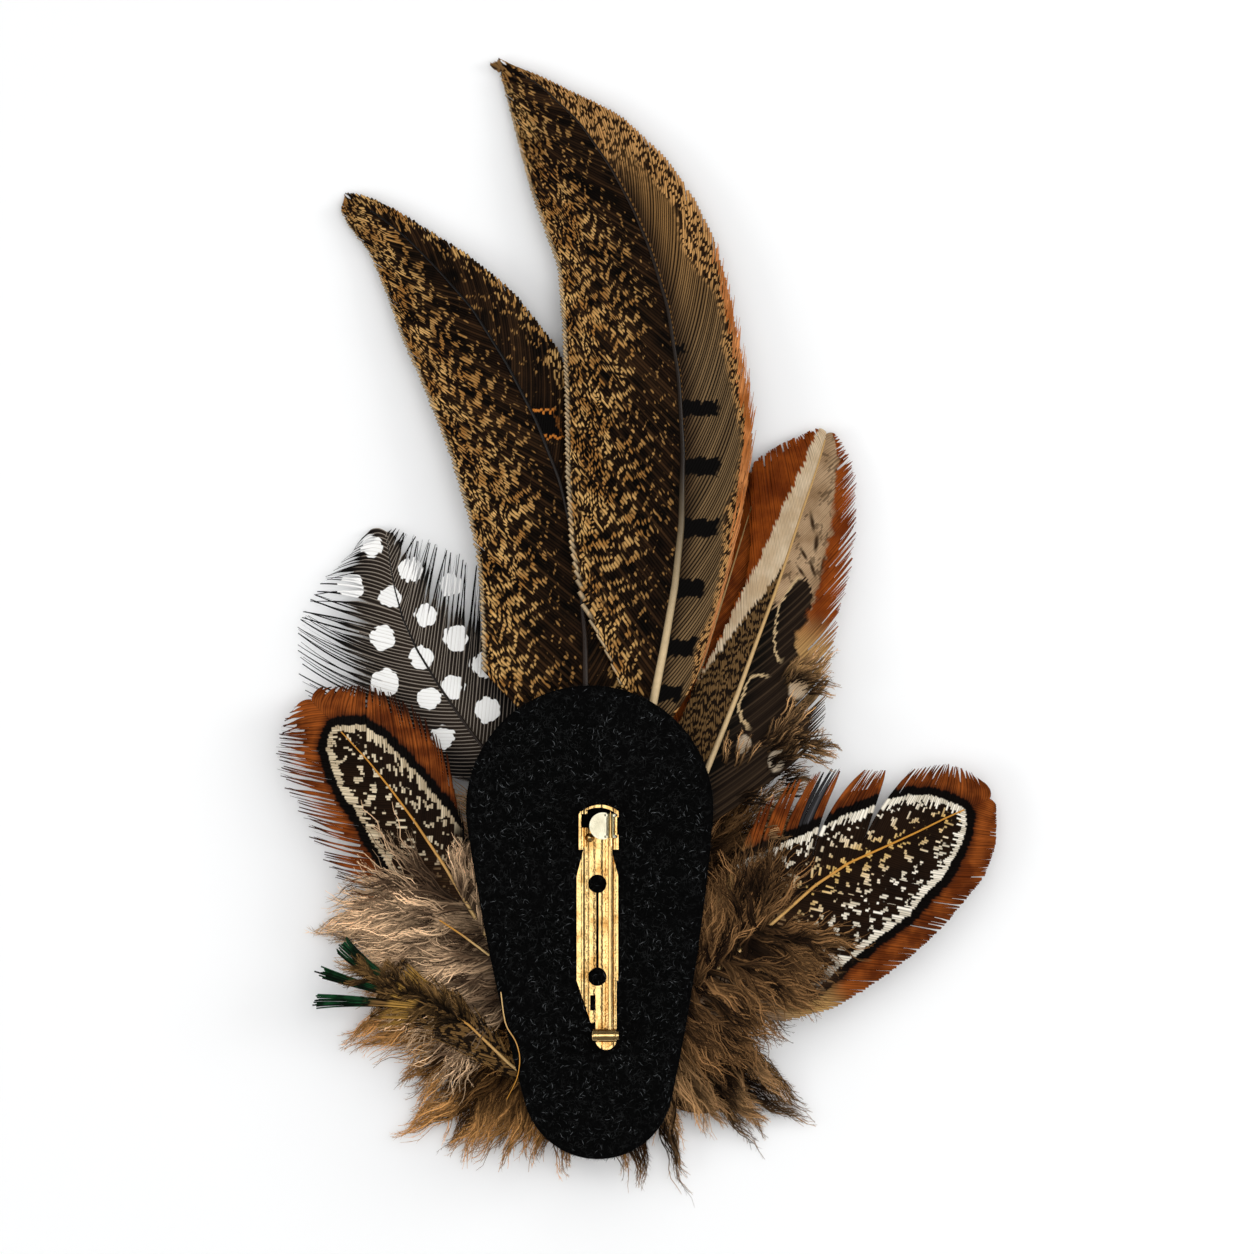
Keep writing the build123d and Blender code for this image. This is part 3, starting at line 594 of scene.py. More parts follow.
class Weave:
    """Collects ribbons, tubes and fine triangles with their surface maps, and joins them into one mesh."""

    MAPS = ("barb", "strand", "vane", "offset", "eye")

    def __init__(self):
        self.points = []
        self.faces = []
        self.maps = {name: [] for name in self.MAPS}
        self.tags = []
        self.count = 0

    def add(self, points, faces, maps, tag=0):
        """Points (n, 3), faces (m, 3 or 4) counted from the first of these points, and maps of (n, 2)."""
        self.points.append(points.reshape(-1, 3))
        self.faces.append(faces + self.count)
        self.tags.append(np.full(len(faces), tag))
        total = len(self.points[-1])
        for name in self.MAPS:
            values = maps.get(name)
            blank = np.zeros((total, 2))
            self.maps[name].append(blank if values is None else values.reshape(-1, 2))
        self.count += total

    def ribbons(self, middle, half, out, maps):
        """Barbs along middle (b, n, 3), each side as wide as half (b, n), with a raised middle line."""
        count, steps = half.shape
        shift = out * half[..., None]
        points = np.stack([middle - shift, middle + (0, 0, BARB_RIDGE), middle + shift], axis=2)
        maps = {key: np.repeat(value[:, :, None], 3, axis=2) for key, value in maps.items()}
        maps["strand"][..., 0] += (-0.47, 0.0, 0.47)
        self.add(points, grid_faces(steps, 3, copies=count), maps)

    def strips(self, middle, half, out, tag=0, tone=0.0):
        """Flat strips along middle (b, n, 3), each side as wide as half (b, n), with a tone for each."""
        count, steps = half.shape
        shift = out * half[..., None]
        points = np.stack([middle - shift, middle + shift], axis=2)
        number = np.arange(count)[:, None, None] + 0.5
        share = np.linspace(0, 1, steps)[None, :, None]
        tone = np.reshape(tone, (-1, 1, 1))
        maps = as_maps((count, steps, 2), strand=(number, share), barb=(tone, tone))
        self.add(points, grid_faces(steps, 2, copies=count), maps, tag)

    def hairs(self, root, tip, out, maps, tag=0):
        """One thin triangle from each root to its tip, as wide at the root as out is long."""
        points = np.stack([root - out / 2, root + out / 2, tip], axis=1)
        faces = np.arange(len(root) * 3).reshape(-1, 3)
        self.add(points, faces, maps, tag)

    def tube(self, middle, radius, sides=8, tag=0):
        """Round tube along middle (n, 3) with a radius (n) at each point."""
        tangent = np.gradient(middle, axis=0)
        tangent /= np.linalg.norm(tangent, axis=1, keepdims=True)
        across = np.cross(tangent, (0, 0, 1))
        across /= np.linalg.norm(across, axis=1, keepdims=True)
        up = np.cross(across, tangent)
        turn = np.linspace(0, 2 * math.pi, sides, endpoint=False)
        ring = np.cos(turn)[None, :, None] * across[:, None] + np.sin(turn)[None, :, None] * up[:, None]
        points = middle[:, None] + ring * radius[:, None, None]
        rings = len(middle)
        maps = as_maps((rings, sides), strand=(np.arange(sides) / sides, np.linspace(0, 1, rings)[:, None]))
        self.add(points, grid_faces(rings, sides, closed=True), maps, tag)

    def make(self, name, materials):
        """One smooth object of all that was added."""
        mesh = bpy.data.meshes.new(name)
        points = np.concatenate(self.points)
        mesh.vertices.add(len(points))
        mesh.vertices.foreach_set("co", points.astype(np.float32).ravel())
        corners = np.concatenate([faces.ravel() for faces in self.faces])
        sizes = np.concatenate([np.full(len(faces), faces.shape[1]) for faces in self.faces])
        starts = np.concatenate([[0], np.cumsum(sizes)[:-1]])
        mesh.loops.add(len(corners))
        mesh.loops.foreach_set("vertex_index", corners.astype(np.int32))
        mesh.polygons.add(len(sizes))
        mesh.polygons.foreach_set("loop_start", starts.astype(np.int32))
        mesh.polygons.foreach_set("material_index", np.concatenate(self.tags).astype(np.int32))
        mesh.polygons.foreach_set("use_smooth", np.full(len(sizes), True))
        for key in self.MAPS:
            values = np.concatenate(self.maps[key])
            if values.any():
                layer = mesh.uv_layers.new(name=key)
                layer.data.foreach_set("uv", values[corners].astype(np.float32).ravel())
        mesh.update(calc_edges=True)
        mesh.validate()
        for material in materials:
            mesh.materials.append(material)
        piece = bpy.data.objects.new(name, mesh)
        bpy.context.scene.collection.objects.link(piece)
        return piece


def distance_to(outline, x, y):
    """Distance from points to a closed outline, negative inside it."""
    ends = np.roll(outline, -1, axis=0)
    best = np.full(x.shape, np.inf)
    inside = np.zeros(x.shape, bool)
    for (ax, ay), (bx, by) in zip(outline, ends):
        run = (bx - ax, by - ay)
        share = ((x - ax) * run[0] + (y - ay) * run[1]) / max(run[0] ** 2 + run[1] ** 2, 1e-12)
        share = np.clip(share, 0, 1)
        best = np.minimum(best, np.hypot(x - ax - share * run[0], y - ay - share * run[1]))
        if ay != by:
            crosses = (ay > y) != (by > y)
            inside ^= crosses & (x < ax + (y - ay) / (by - ay) * run[0])
    return np.where(inside, -best, best)


def eye_outline(rows, length):
    """The eye's edge as a closed outline in chord measures."""
    rows = np.array(rows) * length
    left = rows[:, [0, 1]]
    right = rows[::-1][:, [0, 2]]
    return np.concatenate([left, right])


def lay_vane(weave, name, plan, side, rng):
    """The barbs on one side of the quill as overlapping ribbons, loose past where they zip together."""
    facts = BARBS[name]
    hand = 0 if side < 0 else 1
    length = plan.length
    zipped = facts["zipped"][hand]
    ragged = facts["ragged"][hand]
    spacing = facts["spacing"][hand]
    stop = facts.get("stop", 1.0)
    root = np.arange(0.03 * length, (stop - STOP_SHORT) * length, spacing) / length
    lean = math.radians(facts["lean"][hand]) * (1.1 - 0.35 * root)
    closing = np.clip((root - 0.92) / 0.07, 0, 1) * facts.get("pointed", False)
    tip = root.copy()
    for _ in range(12):
        wide = np.abs(plan.edge_at(tip, side) - plan.quill_at(tip))
        goal = np.minimum(root + wide / np.tan(lean) / length, 1 - (1 - root) * 0.3 * (1 - closing))
        tip = tip + (goal - tip) * 0.5
    tip = np.maximum.accumulate(rounded(tip, 3))
    for split_side, at, gap, reach in facts["splits"]:
        if split_side == side:
            near = tip - at
            tip = tip + gap * np.sign(near) * np.exp(-np.abs(near) / reach)
    tip = np.clip(tip + rng.normal(0, ragged, tip.shape) * (1 - tip * 0.5), 0.02, stop)

    count = len(tip)
    start = np.stack([root * length, plan.quill_at(root)], axis=-1)
    over = rng.normal(0, 1, tip.shape) * ragged * length * 0.6
    quill_end = plan.quill_at(tip)
    end_aside = quill_end + (plan.edge_at(tip, side) + side * over - quill_end) * (1 - closing**2)
    end = np.stack([tip * length, end_aside], axis=-1)
    slope = np.gradient(plan.quill, plan.at) / length
    turn = np.arctan(np.interp(root, plan.at, slope)) + side * lean * 1.25
    run = np.linalg.norm(end - start, axis=-1, keepdims=True)
    bend = start + heading(turn) * run * 0.5
    v = np.linspace(0, 1, BARB_STEPS)[None, :, None]
    path = bowed(start, bend, end, v)
    v = v[..., 0]

    loose = np.clip((v - zipped) / (1 - zipped), 0, 1)
    sway = rounded(rng.normal(0, 1, count), 2)[:, None] + rng.normal(0, 0.5, (count, 1))
    across = unit(np.stack([-(end - start)[:, 1], (end - start)[:, 0]], axis=-1))[:, None]
    path = path + across * (sway * loose**1.5 * ragged * length * 0.4)[..., None]

    x, y = plan.place(path[..., 0], path[..., 1])
    here = path[..., 0] / length
    quill = plan.quill_at(here)
    edge = plan.edge_at(here, side)
    spread = np.abs(path[..., 1] - quill) / np.maximum(np.abs(edge - quill), 0.1 * MM)
    camber = np.interp(spread, (0, 0.5, 1), (0, CAMBER_MIDWAY, 1)) * VANE_CAMBER
    flutter = rounded(rng.normal(0, 1, count), 4)[:, None] * 0.25 * MM * v**2
    rise = rng.normal(0, 0.12, (count, 1)) * MM * loose * v
    z = plan.height(x, y) + camber + VANE_THICKNESS * 0.3 + flutter + rise
    middle = np.stack([x, y, np.maximum(z, FLOOR + OVER_FLOOR)], axis=-1)

    _, out = directions(middle)
    gap = np.abs((np.gradient(middle, axis=0) * out).sum(axis=-1))
    half = np.clip(gap * 0.62, 0.03 * MM, spacing * 0.72)
    wear = rng.normal(0, facts["wear"], (count, 1))
    parted = np.clip((v - zipped + wear) / 0.12, 0, 1)
    half = half * (1 - facts.get("parting", USUAL_PARTING) * parted) * (1 - 0.5 * loose**2 * parted)
    tilt = math.radians(BARB_TILT) * side
    out = out * math.cos(tilt) + np.array((0, 0, 1)) * math.sin(tilt)

    along = np.linalg.norm(np.diff(middle, axis=1), axis=-1)
    along = np.concatenate([np.zeros((count, 1)), np.cumsum(along, axis=1)], axis=1)
    values = {
        "barb": (root[:, None] * length / MM, along / MM),
        "strand": (np.arange(count)[:, None] + 0.5, v),
        "vane": (here, np.clip(spread, 0, 1.2) * side),
        "offset": (path[..., 0] / MM, (path[..., 1] - quill) / MM),
    }
    if name in EYES:
        eye = distance_to(eye_outline(EYES[name], length), path[..., 0], path[..., 1])
        values["eye"] = (eye / MM, 0.0)
    maps = as_maps((count, BARB_STEPS), **values)
    weave.ribbons(middle, half, out, maps)
    lay_web(weave, middle, maps, zipped - wear, spacing * facts.get("webbed", USUAL_WEBBED))


def lay_web(weave, middle, maps, zipped, widest):
    """Thin web under the zipped barbs, so that no light shows between them, with none across a split."""
    rows = middle[:, ::2] - (0, 0, WEB_DEPTH)
    count, steps = rows.shape[:2]
    apart = np.linalg.norm(np.diff(rows, axis=0), axis=-1)
    apart = np.maximum(apart[:, :-1], apart[:, 1:])
    share = np.linspace(0, 1, steps)[None, 1:]
    keep = (apart < widest) & (share <= zipped[1:] - WEB_SHORT)
    faces = grid_faces(count, steps)[keep.ravel()]
    weave.add(rows, faces, {key: value[:, ::2] for key, value in maps.items()})


def lay_barbules(weave, middle, tangent, out, rng, pairs, reach, tag, tone):
    """Fine side hairs on soft barbs, which make them fluffy."""
    barbs, steps = middle.shape[:2]
    row = np.arange(barbs)[:, None]
    for side in (-1, 1):
        place = rng.uniform(0.05, 0.97, (barbs, pairs)) * (steps - 1)
        low = np.minimum(place.astype(int), steps - 2)
        part = (place - low)[..., None]
        root = middle[row, low] * (1 - part) + middle[row, low + 1] * part
        size = reach * rng.uniform(0.5, 1.0, (barbs, pairs)) * (1 - 0.5 * place / steps)
        lift = rng.normal(0, 0.12, (barbs, pairs, 1)) * np.array((0, 0, 1))
        spread = rng.uniform(0.35, 0.75, (barbs, pairs, 1)) * side
        aim = unit(tangent[row, low] + out[row, low] * spread + lift)
        tip = root + aim * size[..., None]
        tip[..., 2] = np.maximum(tip[..., 2], FLOOR + 0.05 * MM)
        wide = unit(np.cross(aim, (0, 0, 1))) * 0.05 * MM
        strand = (row[..., None] + 0.5, (place / steps)[..., None])
        own = np.reshape(tone, (-1, 1, 1))
        maps = as_maps((barbs, pairs, 3), strand=strand, barb=(own, own))
        weave.hairs(root.reshape(-1, 3), tip.reshape(-1, 3), wide.reshape(-1, 3), maps, tag)


def lay_soft(weave, x, y, z, rng, width=SOFT_WIDTH, pairs=0, reach=0.0, tag=0, tone=0.0):
    """Soft barbs through places (b, n) with pairs of side hairs, and a tone for each."""
    middle = np.stack([x, y, z], axis=-1)
    barbs, steps = x.shape
    v = np.linspace(0, 1, steps)[None]
    tangent, out = directions(middle)
    half = width / 2 * (1 - 0.75 * v**2) * rng.uniform(0.6, 1.3, (barbs, 1))
    weave.strips(middle, half, out, tag, tone)
    if pairs:
        lay_barbules(weave, middle, tangent, out, rng, pairs, reach, tag, tone)


def wander(root, bearing, size, curl, sway):
    """Paths over the plan from roots (b, 2), with bearings in radians from +X, that curl and sway."""
    steps = sway.shape[1]
    v = np.linspace(0, 1, steps)[None]
    angle = bearing[:, None] + curl[:, None] * v + sway
    run = size[:, None] / (steps - 1)
    zero = np.zeros((len(root), 1))
    x = root[:, :1] + np.concatenate([zero, np.cumsum(np.cos(angle[:, 1:]) * run, axis=1)], axis=1)
    y = root[:, 1:] + np.concatenate([zero, np.cumsum(np.sin(angle[:, 1:]) * run, axis=1)], axis=1)
    return x, y


def under_felt(x, y, z):
    """Heights held below the felt wherever a place is under it."""
    outline = np.stack(felt_outline(0, 90), axis=-1)
    hidden = distance_to(outline, x, y) < 0.3 * MM
    return np.where(hidden, np.minimum(z, FELT_FRONT - 0.05 * MM), z)


def lay_fluff(weave, name, plan, rng, tag):
    """Loose wavy strands at the base of a feather, in bunches that lie over its vane."""
    facts = FLUFF[name]
    bunches = facts["bunches"]
    low, high = facts["span"]
    left_reach, right_reach = facts["reach"]
    risen = rng.uniform(0, 1, bunches)
    side = np.where(rng.uniform(0, 1, bunches) < left_reach / (left_reach + right_reach), -1, 1)
    leans = [base + (top - base) * risen for base, top in facts["lean"]]
    lean = np.radians(np.where(side < 0, *leans)) + rng.normal(0, 0.22, bunches)
    start = rng.uniform(*facts["start"], bunches)
    curl = rng.normal(0.15, 0.35, bunches)
    phase = rng.uniform(0, 1, bunches)
    depth = rng.uniform(0.1, 1.2, bunches)

    bunch = np.repeat(np.arange(bunches), STRANDS_A_BUNCH)
    count = len(bunch)
    u = rng.uniform(-1, 1, count)
    side = side[bunch]
    reach = np.where(side < 0, left_reach, right_reach)
    at = low + (high - low) * risen[bunch] + u * 0.7 * MM / plan.length
    root = np.stack(plan.place(at * plan.length, plan.quill_at(at)), axis=-1)
    slope = np.gradient(plan.quill, plan.at) / plan.length
    ahead = math.atan2(plan.along[1], plan.along[0]) - np.arctan(np.interp(at, plan.at, slope))
    bearing = ahead - side * (lean[bunch] + u * 0.10 + rng.normal(0, 0.05, count))
    begin = (start[bunch] + rng.uniform(-0.08, 0.08, count)) * reach
    size = np.maximum(reach * rng.uniform(0.5, 0.95, count) - begin * 0.6, reach * 0.3)
    root = root + heading(bearing) * begin[:, None]
    bend = side * (curl[bunch] - u * 0.22 + rng.normal(0, 0.08, count))
    v = np.linspace(0, 1, SOFT_STEPS)[None]
    waves = v * size[:, None] / (5 * MM)
    turn = 2 * math.pi * (waves + phase[bunch][:, None] + rng.normal(0, 0.05, (count, 1)))
    own = 2 * math.pi * (v * rng.uniform(1.0, 2.4, (count, 1)) + rng.uniform(0, 1, (count, 1)))
    sway = (0.40 * np.sin(turn) + 0.14 * np.sin(own)) * np.minimum(1, v * 2)
    x, y = wander(root, bearing, size, bend, sway)
    most = depth[bunch] * MM * rng.uniform(0.8, 1.1, count)
    lift = most[:, None] * np.sin(math.pi * np.clip(v * 0.8 + 0.15, 0, 1))
    z = plan.height(x, y) + VANE_THICKNESS * 0.8 + lift
    z = under_felt(x, y, np.maximum(z, FLOOR + OVER_FLOOR))
    bunch_tone = rng.uniform(0, 1, bunches)[bunch]
    lay_soft(weave, x, y, z, rng, pairs=5, reach=1.2 * MM, tag=tag, tone=bunch_tone)


def lay_fringe(weave, plan, rng, tag):
    """Loose rufous barbs along the tall feather's right edge."""
    share = rng.beta(1.5, 1.7, FRINGE_COUNT)
    at = FRINGE_SPAN[0] + (FRINGE_SPAN[1] - FRINGE_SPAN[0]) * share
    edge = plan.edge_at(at, 1) - rng.uniform(0.3, 1.2, FRINGE_COUNT) * MM
    root = np.stack(plan.place(at * plan.length, edge), axis=-1)
    bearing = np.radians(90 - rng.normal(FRINGE_LEAN, 2.5, FRINGE_COUNT) * (1 - 0.5 * share))
    size = rng.uniform(*FRINGE_LENGTH, FRINGE_COUNT) * (1 - 0.6 * share)
    curl = rng.normal(0.22, 0.06, FRINGE_COUNT)
    x, y = wander(root, bearing, size, curl, np.zeros((FRINGE_COUNT, 9)))
    z = plan.height(x, y) + VANE_CAMBER + VANE_THICKNESS * 0.4 + rng.uniform(0, 0.2, (FRINGE_COUNT, 1)) * MM
    lay_soft(weave, x, y, z, rng, tag=tag)


def lay_nib(weave, plan, rng):
    """Ragged little barbs at the tall feather's very tip."""
    count = 16
    root = np.tile(plan.place(0.985 * plan.length, 0.0), (count, 1)) + rng.normal(0, 0.2, (count, 2)) * MM
    bearing = math.atan2(plan.along[1], plan.along[0]) + rng.uniform(-0.2, 0.9, count)
    x, y = wander(root, bearing, rng.uniform(0.8, 1.6, count) * MM, np.zeros(count), np.zeros((count, 4)))
    z = plan.height(x, y) + VANE_THICKNESS
    lay_soft(weave, x, y, z, rng, width=0.42 * MM)


def lay_bundles(weave, plan, rng):
    """Three flat bundles of parallel barbs with squared tips at the end of the green feather."""
    v = np.linspace(0, 1, BARB_STEPS)[None, :, None]
    place = np.linspace(-1, 1, GREEN_BARBS)
    for inner, centre, wide, end_at in GREEN_BUNDLES:
        start_at = 0.48 + rng.uniform(0, 0.06, GREEN_BARBS)
        start = np.stack([start_at * plan.length, plan.quill_at(start_at)], axis=-1)
        aside = (centre + place * wide) * plan.length
        end = np.stack([np.full(GREEN_BARBS, end_at) * plan.length, aside], axis=-1)
        end[:, 0] += rng.normal(0, 0.010, GREEN_BARBS) * plan.length
        middle_aside = (inner + place * wide * 0.6) * plan.length
        bend = np.stack([np.full(GREEN_BARBS, GREEN_FLUFF_END) * plan.length, middle_aside], axis=-1)
        path = bowed(start, bend, end, v)
        x, y = plan.place(path[..., 0], path[..., 1])
        rise = rng.uniform(0, 0.25, (GREEN_BARBS, 1)) * MM
        z = plan.height(x, y) + VANE_CAMBER + VANE_THICKNESS * 0.6 + rise
        middle = np.stack([x, y, z], axis=-1)
        _, out = directions(middle)
        half = np.full(x.shape, 0.10 * MM)
        number = rng.uniform(0, 900, (GREEN_BARBS, 1)).astype(int) + 0.5
        values = {
            "barb": (start[:, :1] / MM, path[..., 0] / MM),
            "strand": (number, v[..., 0]),
            "vane": (path[..., 0] / plan.length, 0.5),
            "offset": (path[..., 0] / MM, path[..., 1] / MM),
        }
        weave.ribbons(middle, half, out, as_maps(x.shape, **values))


def lay_quill(weave, plan, thick, thin, end):
    """The quill as a tapered tube on the vane, from the root to a share of the length."""
    at = np.linspace(0, end, QUILL_STEPS)
    x, y = plan.place(at * plan.length, plan.quill_at(at))
    radius = thin + (thick - thin) * (1 - at) ** 1.4
    z = plan.height(x, y) + VANE_THICKNESS * 0.3 + radius * 0.35
    weave.tube(np.stack([x, y, z], axis=-1), radius, tag=1)


# Thickness of each quill at its root and near its tip, and the share of the length where it ends
QUILLS = {
    "tail_feather_tall": (0.62 * MM, 0.11 * MM, 0.975),
    "tail_feather_left": (0.50 * MM, 0.11 * MM, 0.96),
    "buff_feather_right": (0.50 * MM, 0.10 * MM, 0.975),
    "chestnut_feather_left": (0.34 * MM, 0.07 * MM, 0.87),
    "spotted_feather": (0.30 * MM, 0.08 * MM, 0.975),
    "rufous_feather": (0.30 * MM, 0.06 * MM, 0.975),
    "chestnut_feather_right": (0.34 * MM, 0.10 * MM, 0.92),
    "green_feather": (0.26 * MM, 0.06 * MM, 0.70),
}


def lay_stray(weave, row, radius):
    """A stray quill or fibre through a row of points."""
    row = np.array(row) * MM
    at = np.linspace(0, 1, len(row))
    smooth = np.linspace(0, 1, STRAY_STEPS)
    x, y, z = (rounded(np.interp(smooth, at, row[:, i]), 2) for i in range(3))
    weave.tube(np.stack([x, y, z], axis=-1), radius * (1 - 0.4 * smooth), sides=6, tag=1)


def make_feather(name, materials, number):
    """A whole feather: both vanes, its quill, and the loose barbs at its base or edge."""
    rng = np.random.default_rng(SEED + number)
    plan = Plan(**FEATHERS[name])
    weave = Weave()
    for side in (-1, 1):
        lay_vane(weave, name, plan, side, rng)
    lay_quill(weave, plan, *QUILLS[name])
    if name in FLUFF:
        lay_fluff(weave, name, plan, rng, 2)
    if name == "chestnut_feather_left":
        lay_stray(weave, STRAY_QUILL, 0.16 * MM)
        lay_stray(weave, STRAY_FIBRE, 0.09 * MM)
    if name == "tail_feather_tall":
        lay_fringe(weave, plan, rng, 2)
        lay_nib(weave, plan, rng)
    if name == "green_feather":
        lay_bundles(weave, plan, rng)
    piece = weave.make(name + "_barbs", materials)
    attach(piece, "plume")
    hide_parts(name)
    return piece


def down_top(away, height):
    """Height of the down over the floor at a distance from the head."""
    return DOWN_TIP_HEIGHT + (height - DOWN_TIP_HEIGHT) * np.maximum(0.0, 1 - (away / DOWN_SPREAD) ** 3)


def fan_reach(reaches, turn):
    """A clump's reach at shares of its sweep, through the reach at its first, middle and last lock."""
    start, middle, end = (share * DOWN_SPREAD for share in reaches)
    bend = 4 * turn * (1 - turn)
    return (start + (end - start) * turn) * (1 - bend) + middle * bend


def make_down(name, materials, number, sweep, locks, reaches, layer, sides, core_reach):
    """A clump of down: overlapping tufts of wavy strands with pointed ends, over a dense core."""
    rng = np.random.default_rng(SEED + 100 + number)
    height = TOP_LAYER - layer * LAYER_PITCH - QUILL_RADIUS - LAYER_GAP - FLOOR
    tufts = DOWN_TUFTS_A_LOCK * locks
    lock = np.arange(tufts) % locks
    aside = rng.uniform(-0.5, 0.5, tufts)
    turn = (lock + 0.5 + aside) / locks
    axis = np.radians(sweep[0] + (sweep[1] - sweep[0]) * turn)
    limit = fan_reach(reaches, turn)
    inside = np.minimum(1.0, np.minimum(turn, 1 - turn) / DOWN_PART)
    limit = limit * (1.04 - 0.24 * np.abs(2 * aside)) * rng.uniform(0.92, 1.02, tufts)
    limit = limit * (1 - (1 - sides[0]) * np.clip(1 - turn / DOWN_PART, 0, 1))
    limit = limit * (1 - (1 - sides[1]) * np.clip(1 - (1 - turn) / DOWN_PART, 0, 1))
    size = rng.uniform(9.0, 15.0, tufts) * MM
    begin = np.maximum(rng.uniform(0.25, 0.75, tufts) ** 0.8 * limit, 6 * MM)
    begin = np.minimum(begin, limit - size * 0.75)
    size = np.minimum(size, (limit - begin) * 1.1)
    lean = rng.normal(0, 0.40, tufts) * (1.25 - begin / limit) * (0.35 + 0.65 * inside)
    tuft_bearing = axis + lean
    tuft_curl = rng.normal(0, 0.30, tufts) - lean * 1.2
    tuft_depth = rng.uniform(0.45, 1.0, tufts)
    tuft_turn = rng.uniform(0, 1, tufts)

    strands = tufts * DOWN_STRANDS_A_TUFT
    tuft = np.repeat(np.arange(tufts), DOWN_STRANDS_A_TUFT)
    u = rng.uniform(-1, 1, strands)
    bearing = tuft_bearing[tuft] - u * 0.13 + rng.normal(0, 0.03, strands)
    ahead = heading(tuft_bearing)[tuft]
    across = np.stack([-ahead[:, 1], ahead[:, 0]], axis=-1)
    head = heading(axis)[tuft] * begin[tuft][:, None]
    root = np.array(FLUFF_CENTRE) + head + across * (u * 1.8 * MM)[:, None]
    root = root + ahead * (rng.uniform(-2.5, 1.0, (strands, 1)) + 1.5 * (1 - np.abs(u))[:, None]) * MM
    length = size[tuft] * rng.uniform(0.75, 1.0, strands) * (1 - 0.25 * np.abs(u))
    curl = tuft_curl[tuft] - u * 0.14 + rng.normal(0, 0.05, strands)
    v = np.linspace(0, 1, SOFT_STEPS)[None]
    waves = length[:, None] / (5.5 * MM)
    turns = 2 * math.pi * (v * waves + tuft_turn[tuft][:, None] + rng.normal(0, 0.06, (strands, 1)))
    own = 2 * math.pi * (v * rng.uniform(1.0, 2.6, (strands, 1)) + rng.uniform(0, 1, (strands, 1)))
    sway = (0.34 * np.sin(turns) + 0.08 * np.sin(own)) * np.minimum(1, v * 3)
    x, y = wander(root, bearing, length, curl, sway)
    away = np.hypot(x - FLUFF_CENTRE[0], y - FLUFF_CENTRE[1])
    depth = tuft_depth[tuft][:, None] * rng.uniform(0.85, 1.0, (strands, 1))
    lift = down_top(away, height) * (depth - 0.2 * v) * np.minimum(1, 0.75 + v)
    z = under_felt(x, y, FLOOR + OVER_FLOOR + lift)
    weave = Weave()
    tuft_tone = rng.uniform(0, 1, tufts)[tuft]
    lay_soft(weave, x, y, z, rng, pairs=6, reach=1.6 * MM, tone=tuft_tone)
    lay_core(weave, sweep, locks, reaches, height, core_reach)
    piece = weave.make(name + "_fluff", materials)
    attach(piece, "plume")
    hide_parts(name)
    return piece


def lay_core(weave, sweep, locks, reaches, height, core_reach):
    """Dense heart of a clump, a little inside its fan, that stops the light between the barbs: a dark sheet
    for the dense down and painted shade deep inside it.
    """
    turns = locks * 6
    turn = np.linspace(0.01, 0.99, turns)
    reach = fan_reach(reaches, turn) * core_reach * (0.78 + 0.22 * np.sin(math.pi * turn))
    angle = np.radians(sweep[0] + (sweep[1] - sweep[0]) * turn)
    rings = np.array((0.0, 0.35, 0.6, 0.8, 0.95, 1.0, 1.0))
    low = np.array((1.0, 0.9, 0.82, 0.7, 0.5, 0.3, 0.05))
    away = DOWN_HEAD_RADIUS + (reach - DOWN_HEAD_RADIUS)[:, None] * rings[None]
    z = FLOOR + 0.05 * MM + down_top(away, height) * low[None] * 0.8
    x = FLUFF_CENTRE[0] + away * np.cos(angle)[:, None]
    y = FLUFF_CENTRE[1] + away * np.sin(angle)[:, None]
    weave.add(np.stack([x, y, z], axis=-1), grid_faces(turns, len(rings)), {}, tag=1)


def felt_outline(inset, count):
    """The egg's outline drawn in by an inset, as points at even turns of each arc."""
    drop = FELT_CENTRES
    top_swing = FELT_SIDE_RADIUS - FELT_TOP_RADIUS
    low_swing = FELT_SIDE_RADIUS - FELT_BOTTOM_RADIUS
    side_y = (low_swing**2 - top_swing**2 - drop**2) / (2 * drop)
    side_x = math.sqrt(top_swing**2 - side_y**2)
    join = math.atan2(-side_y, side_x)
    low_join = math.atan2(-(side_y + drop), side_x)
    arcs = (
        ((0.0, 0.0), FELT_TOP_RADIUS, join, math.pi - join, 0.42),
        ((side_x, side_y), FELT_SIDE_RADIUS, math.pi - join, math.pi - low_join, 0.18),
        ((0.0, -drop), FELT_BOTTOM_RADIUS, math.pi - low_join, 2 * math.pi + low_join, 0.22),
        ((-side_x, side_y), FELT_SIDE_RADIUS, low_join, join, 0.18),
    )
    points = []
    for centre, radius, first, last, share in arcs:
        for angle in np.linspace(first, last, int(count * share), endpoint=False):
            reach = radius - inset
            points.append((centre[0] + reach * math.cos(angle), centre[1] + reach * math.sin(angle)))
    lean = math.radians(FELT_LEAN)
    points = np.array(points)
    x = points[:, 0] * math.cos(lean) - points[:, 1] * math.sin(lean) + FELT_TOP_CENTRE[0]
    y = points[:, 0] * math.sin(lean) + points[:, 1] * math.cos(lean) + FELT_TOP_CENTRE[1]
    return x, y


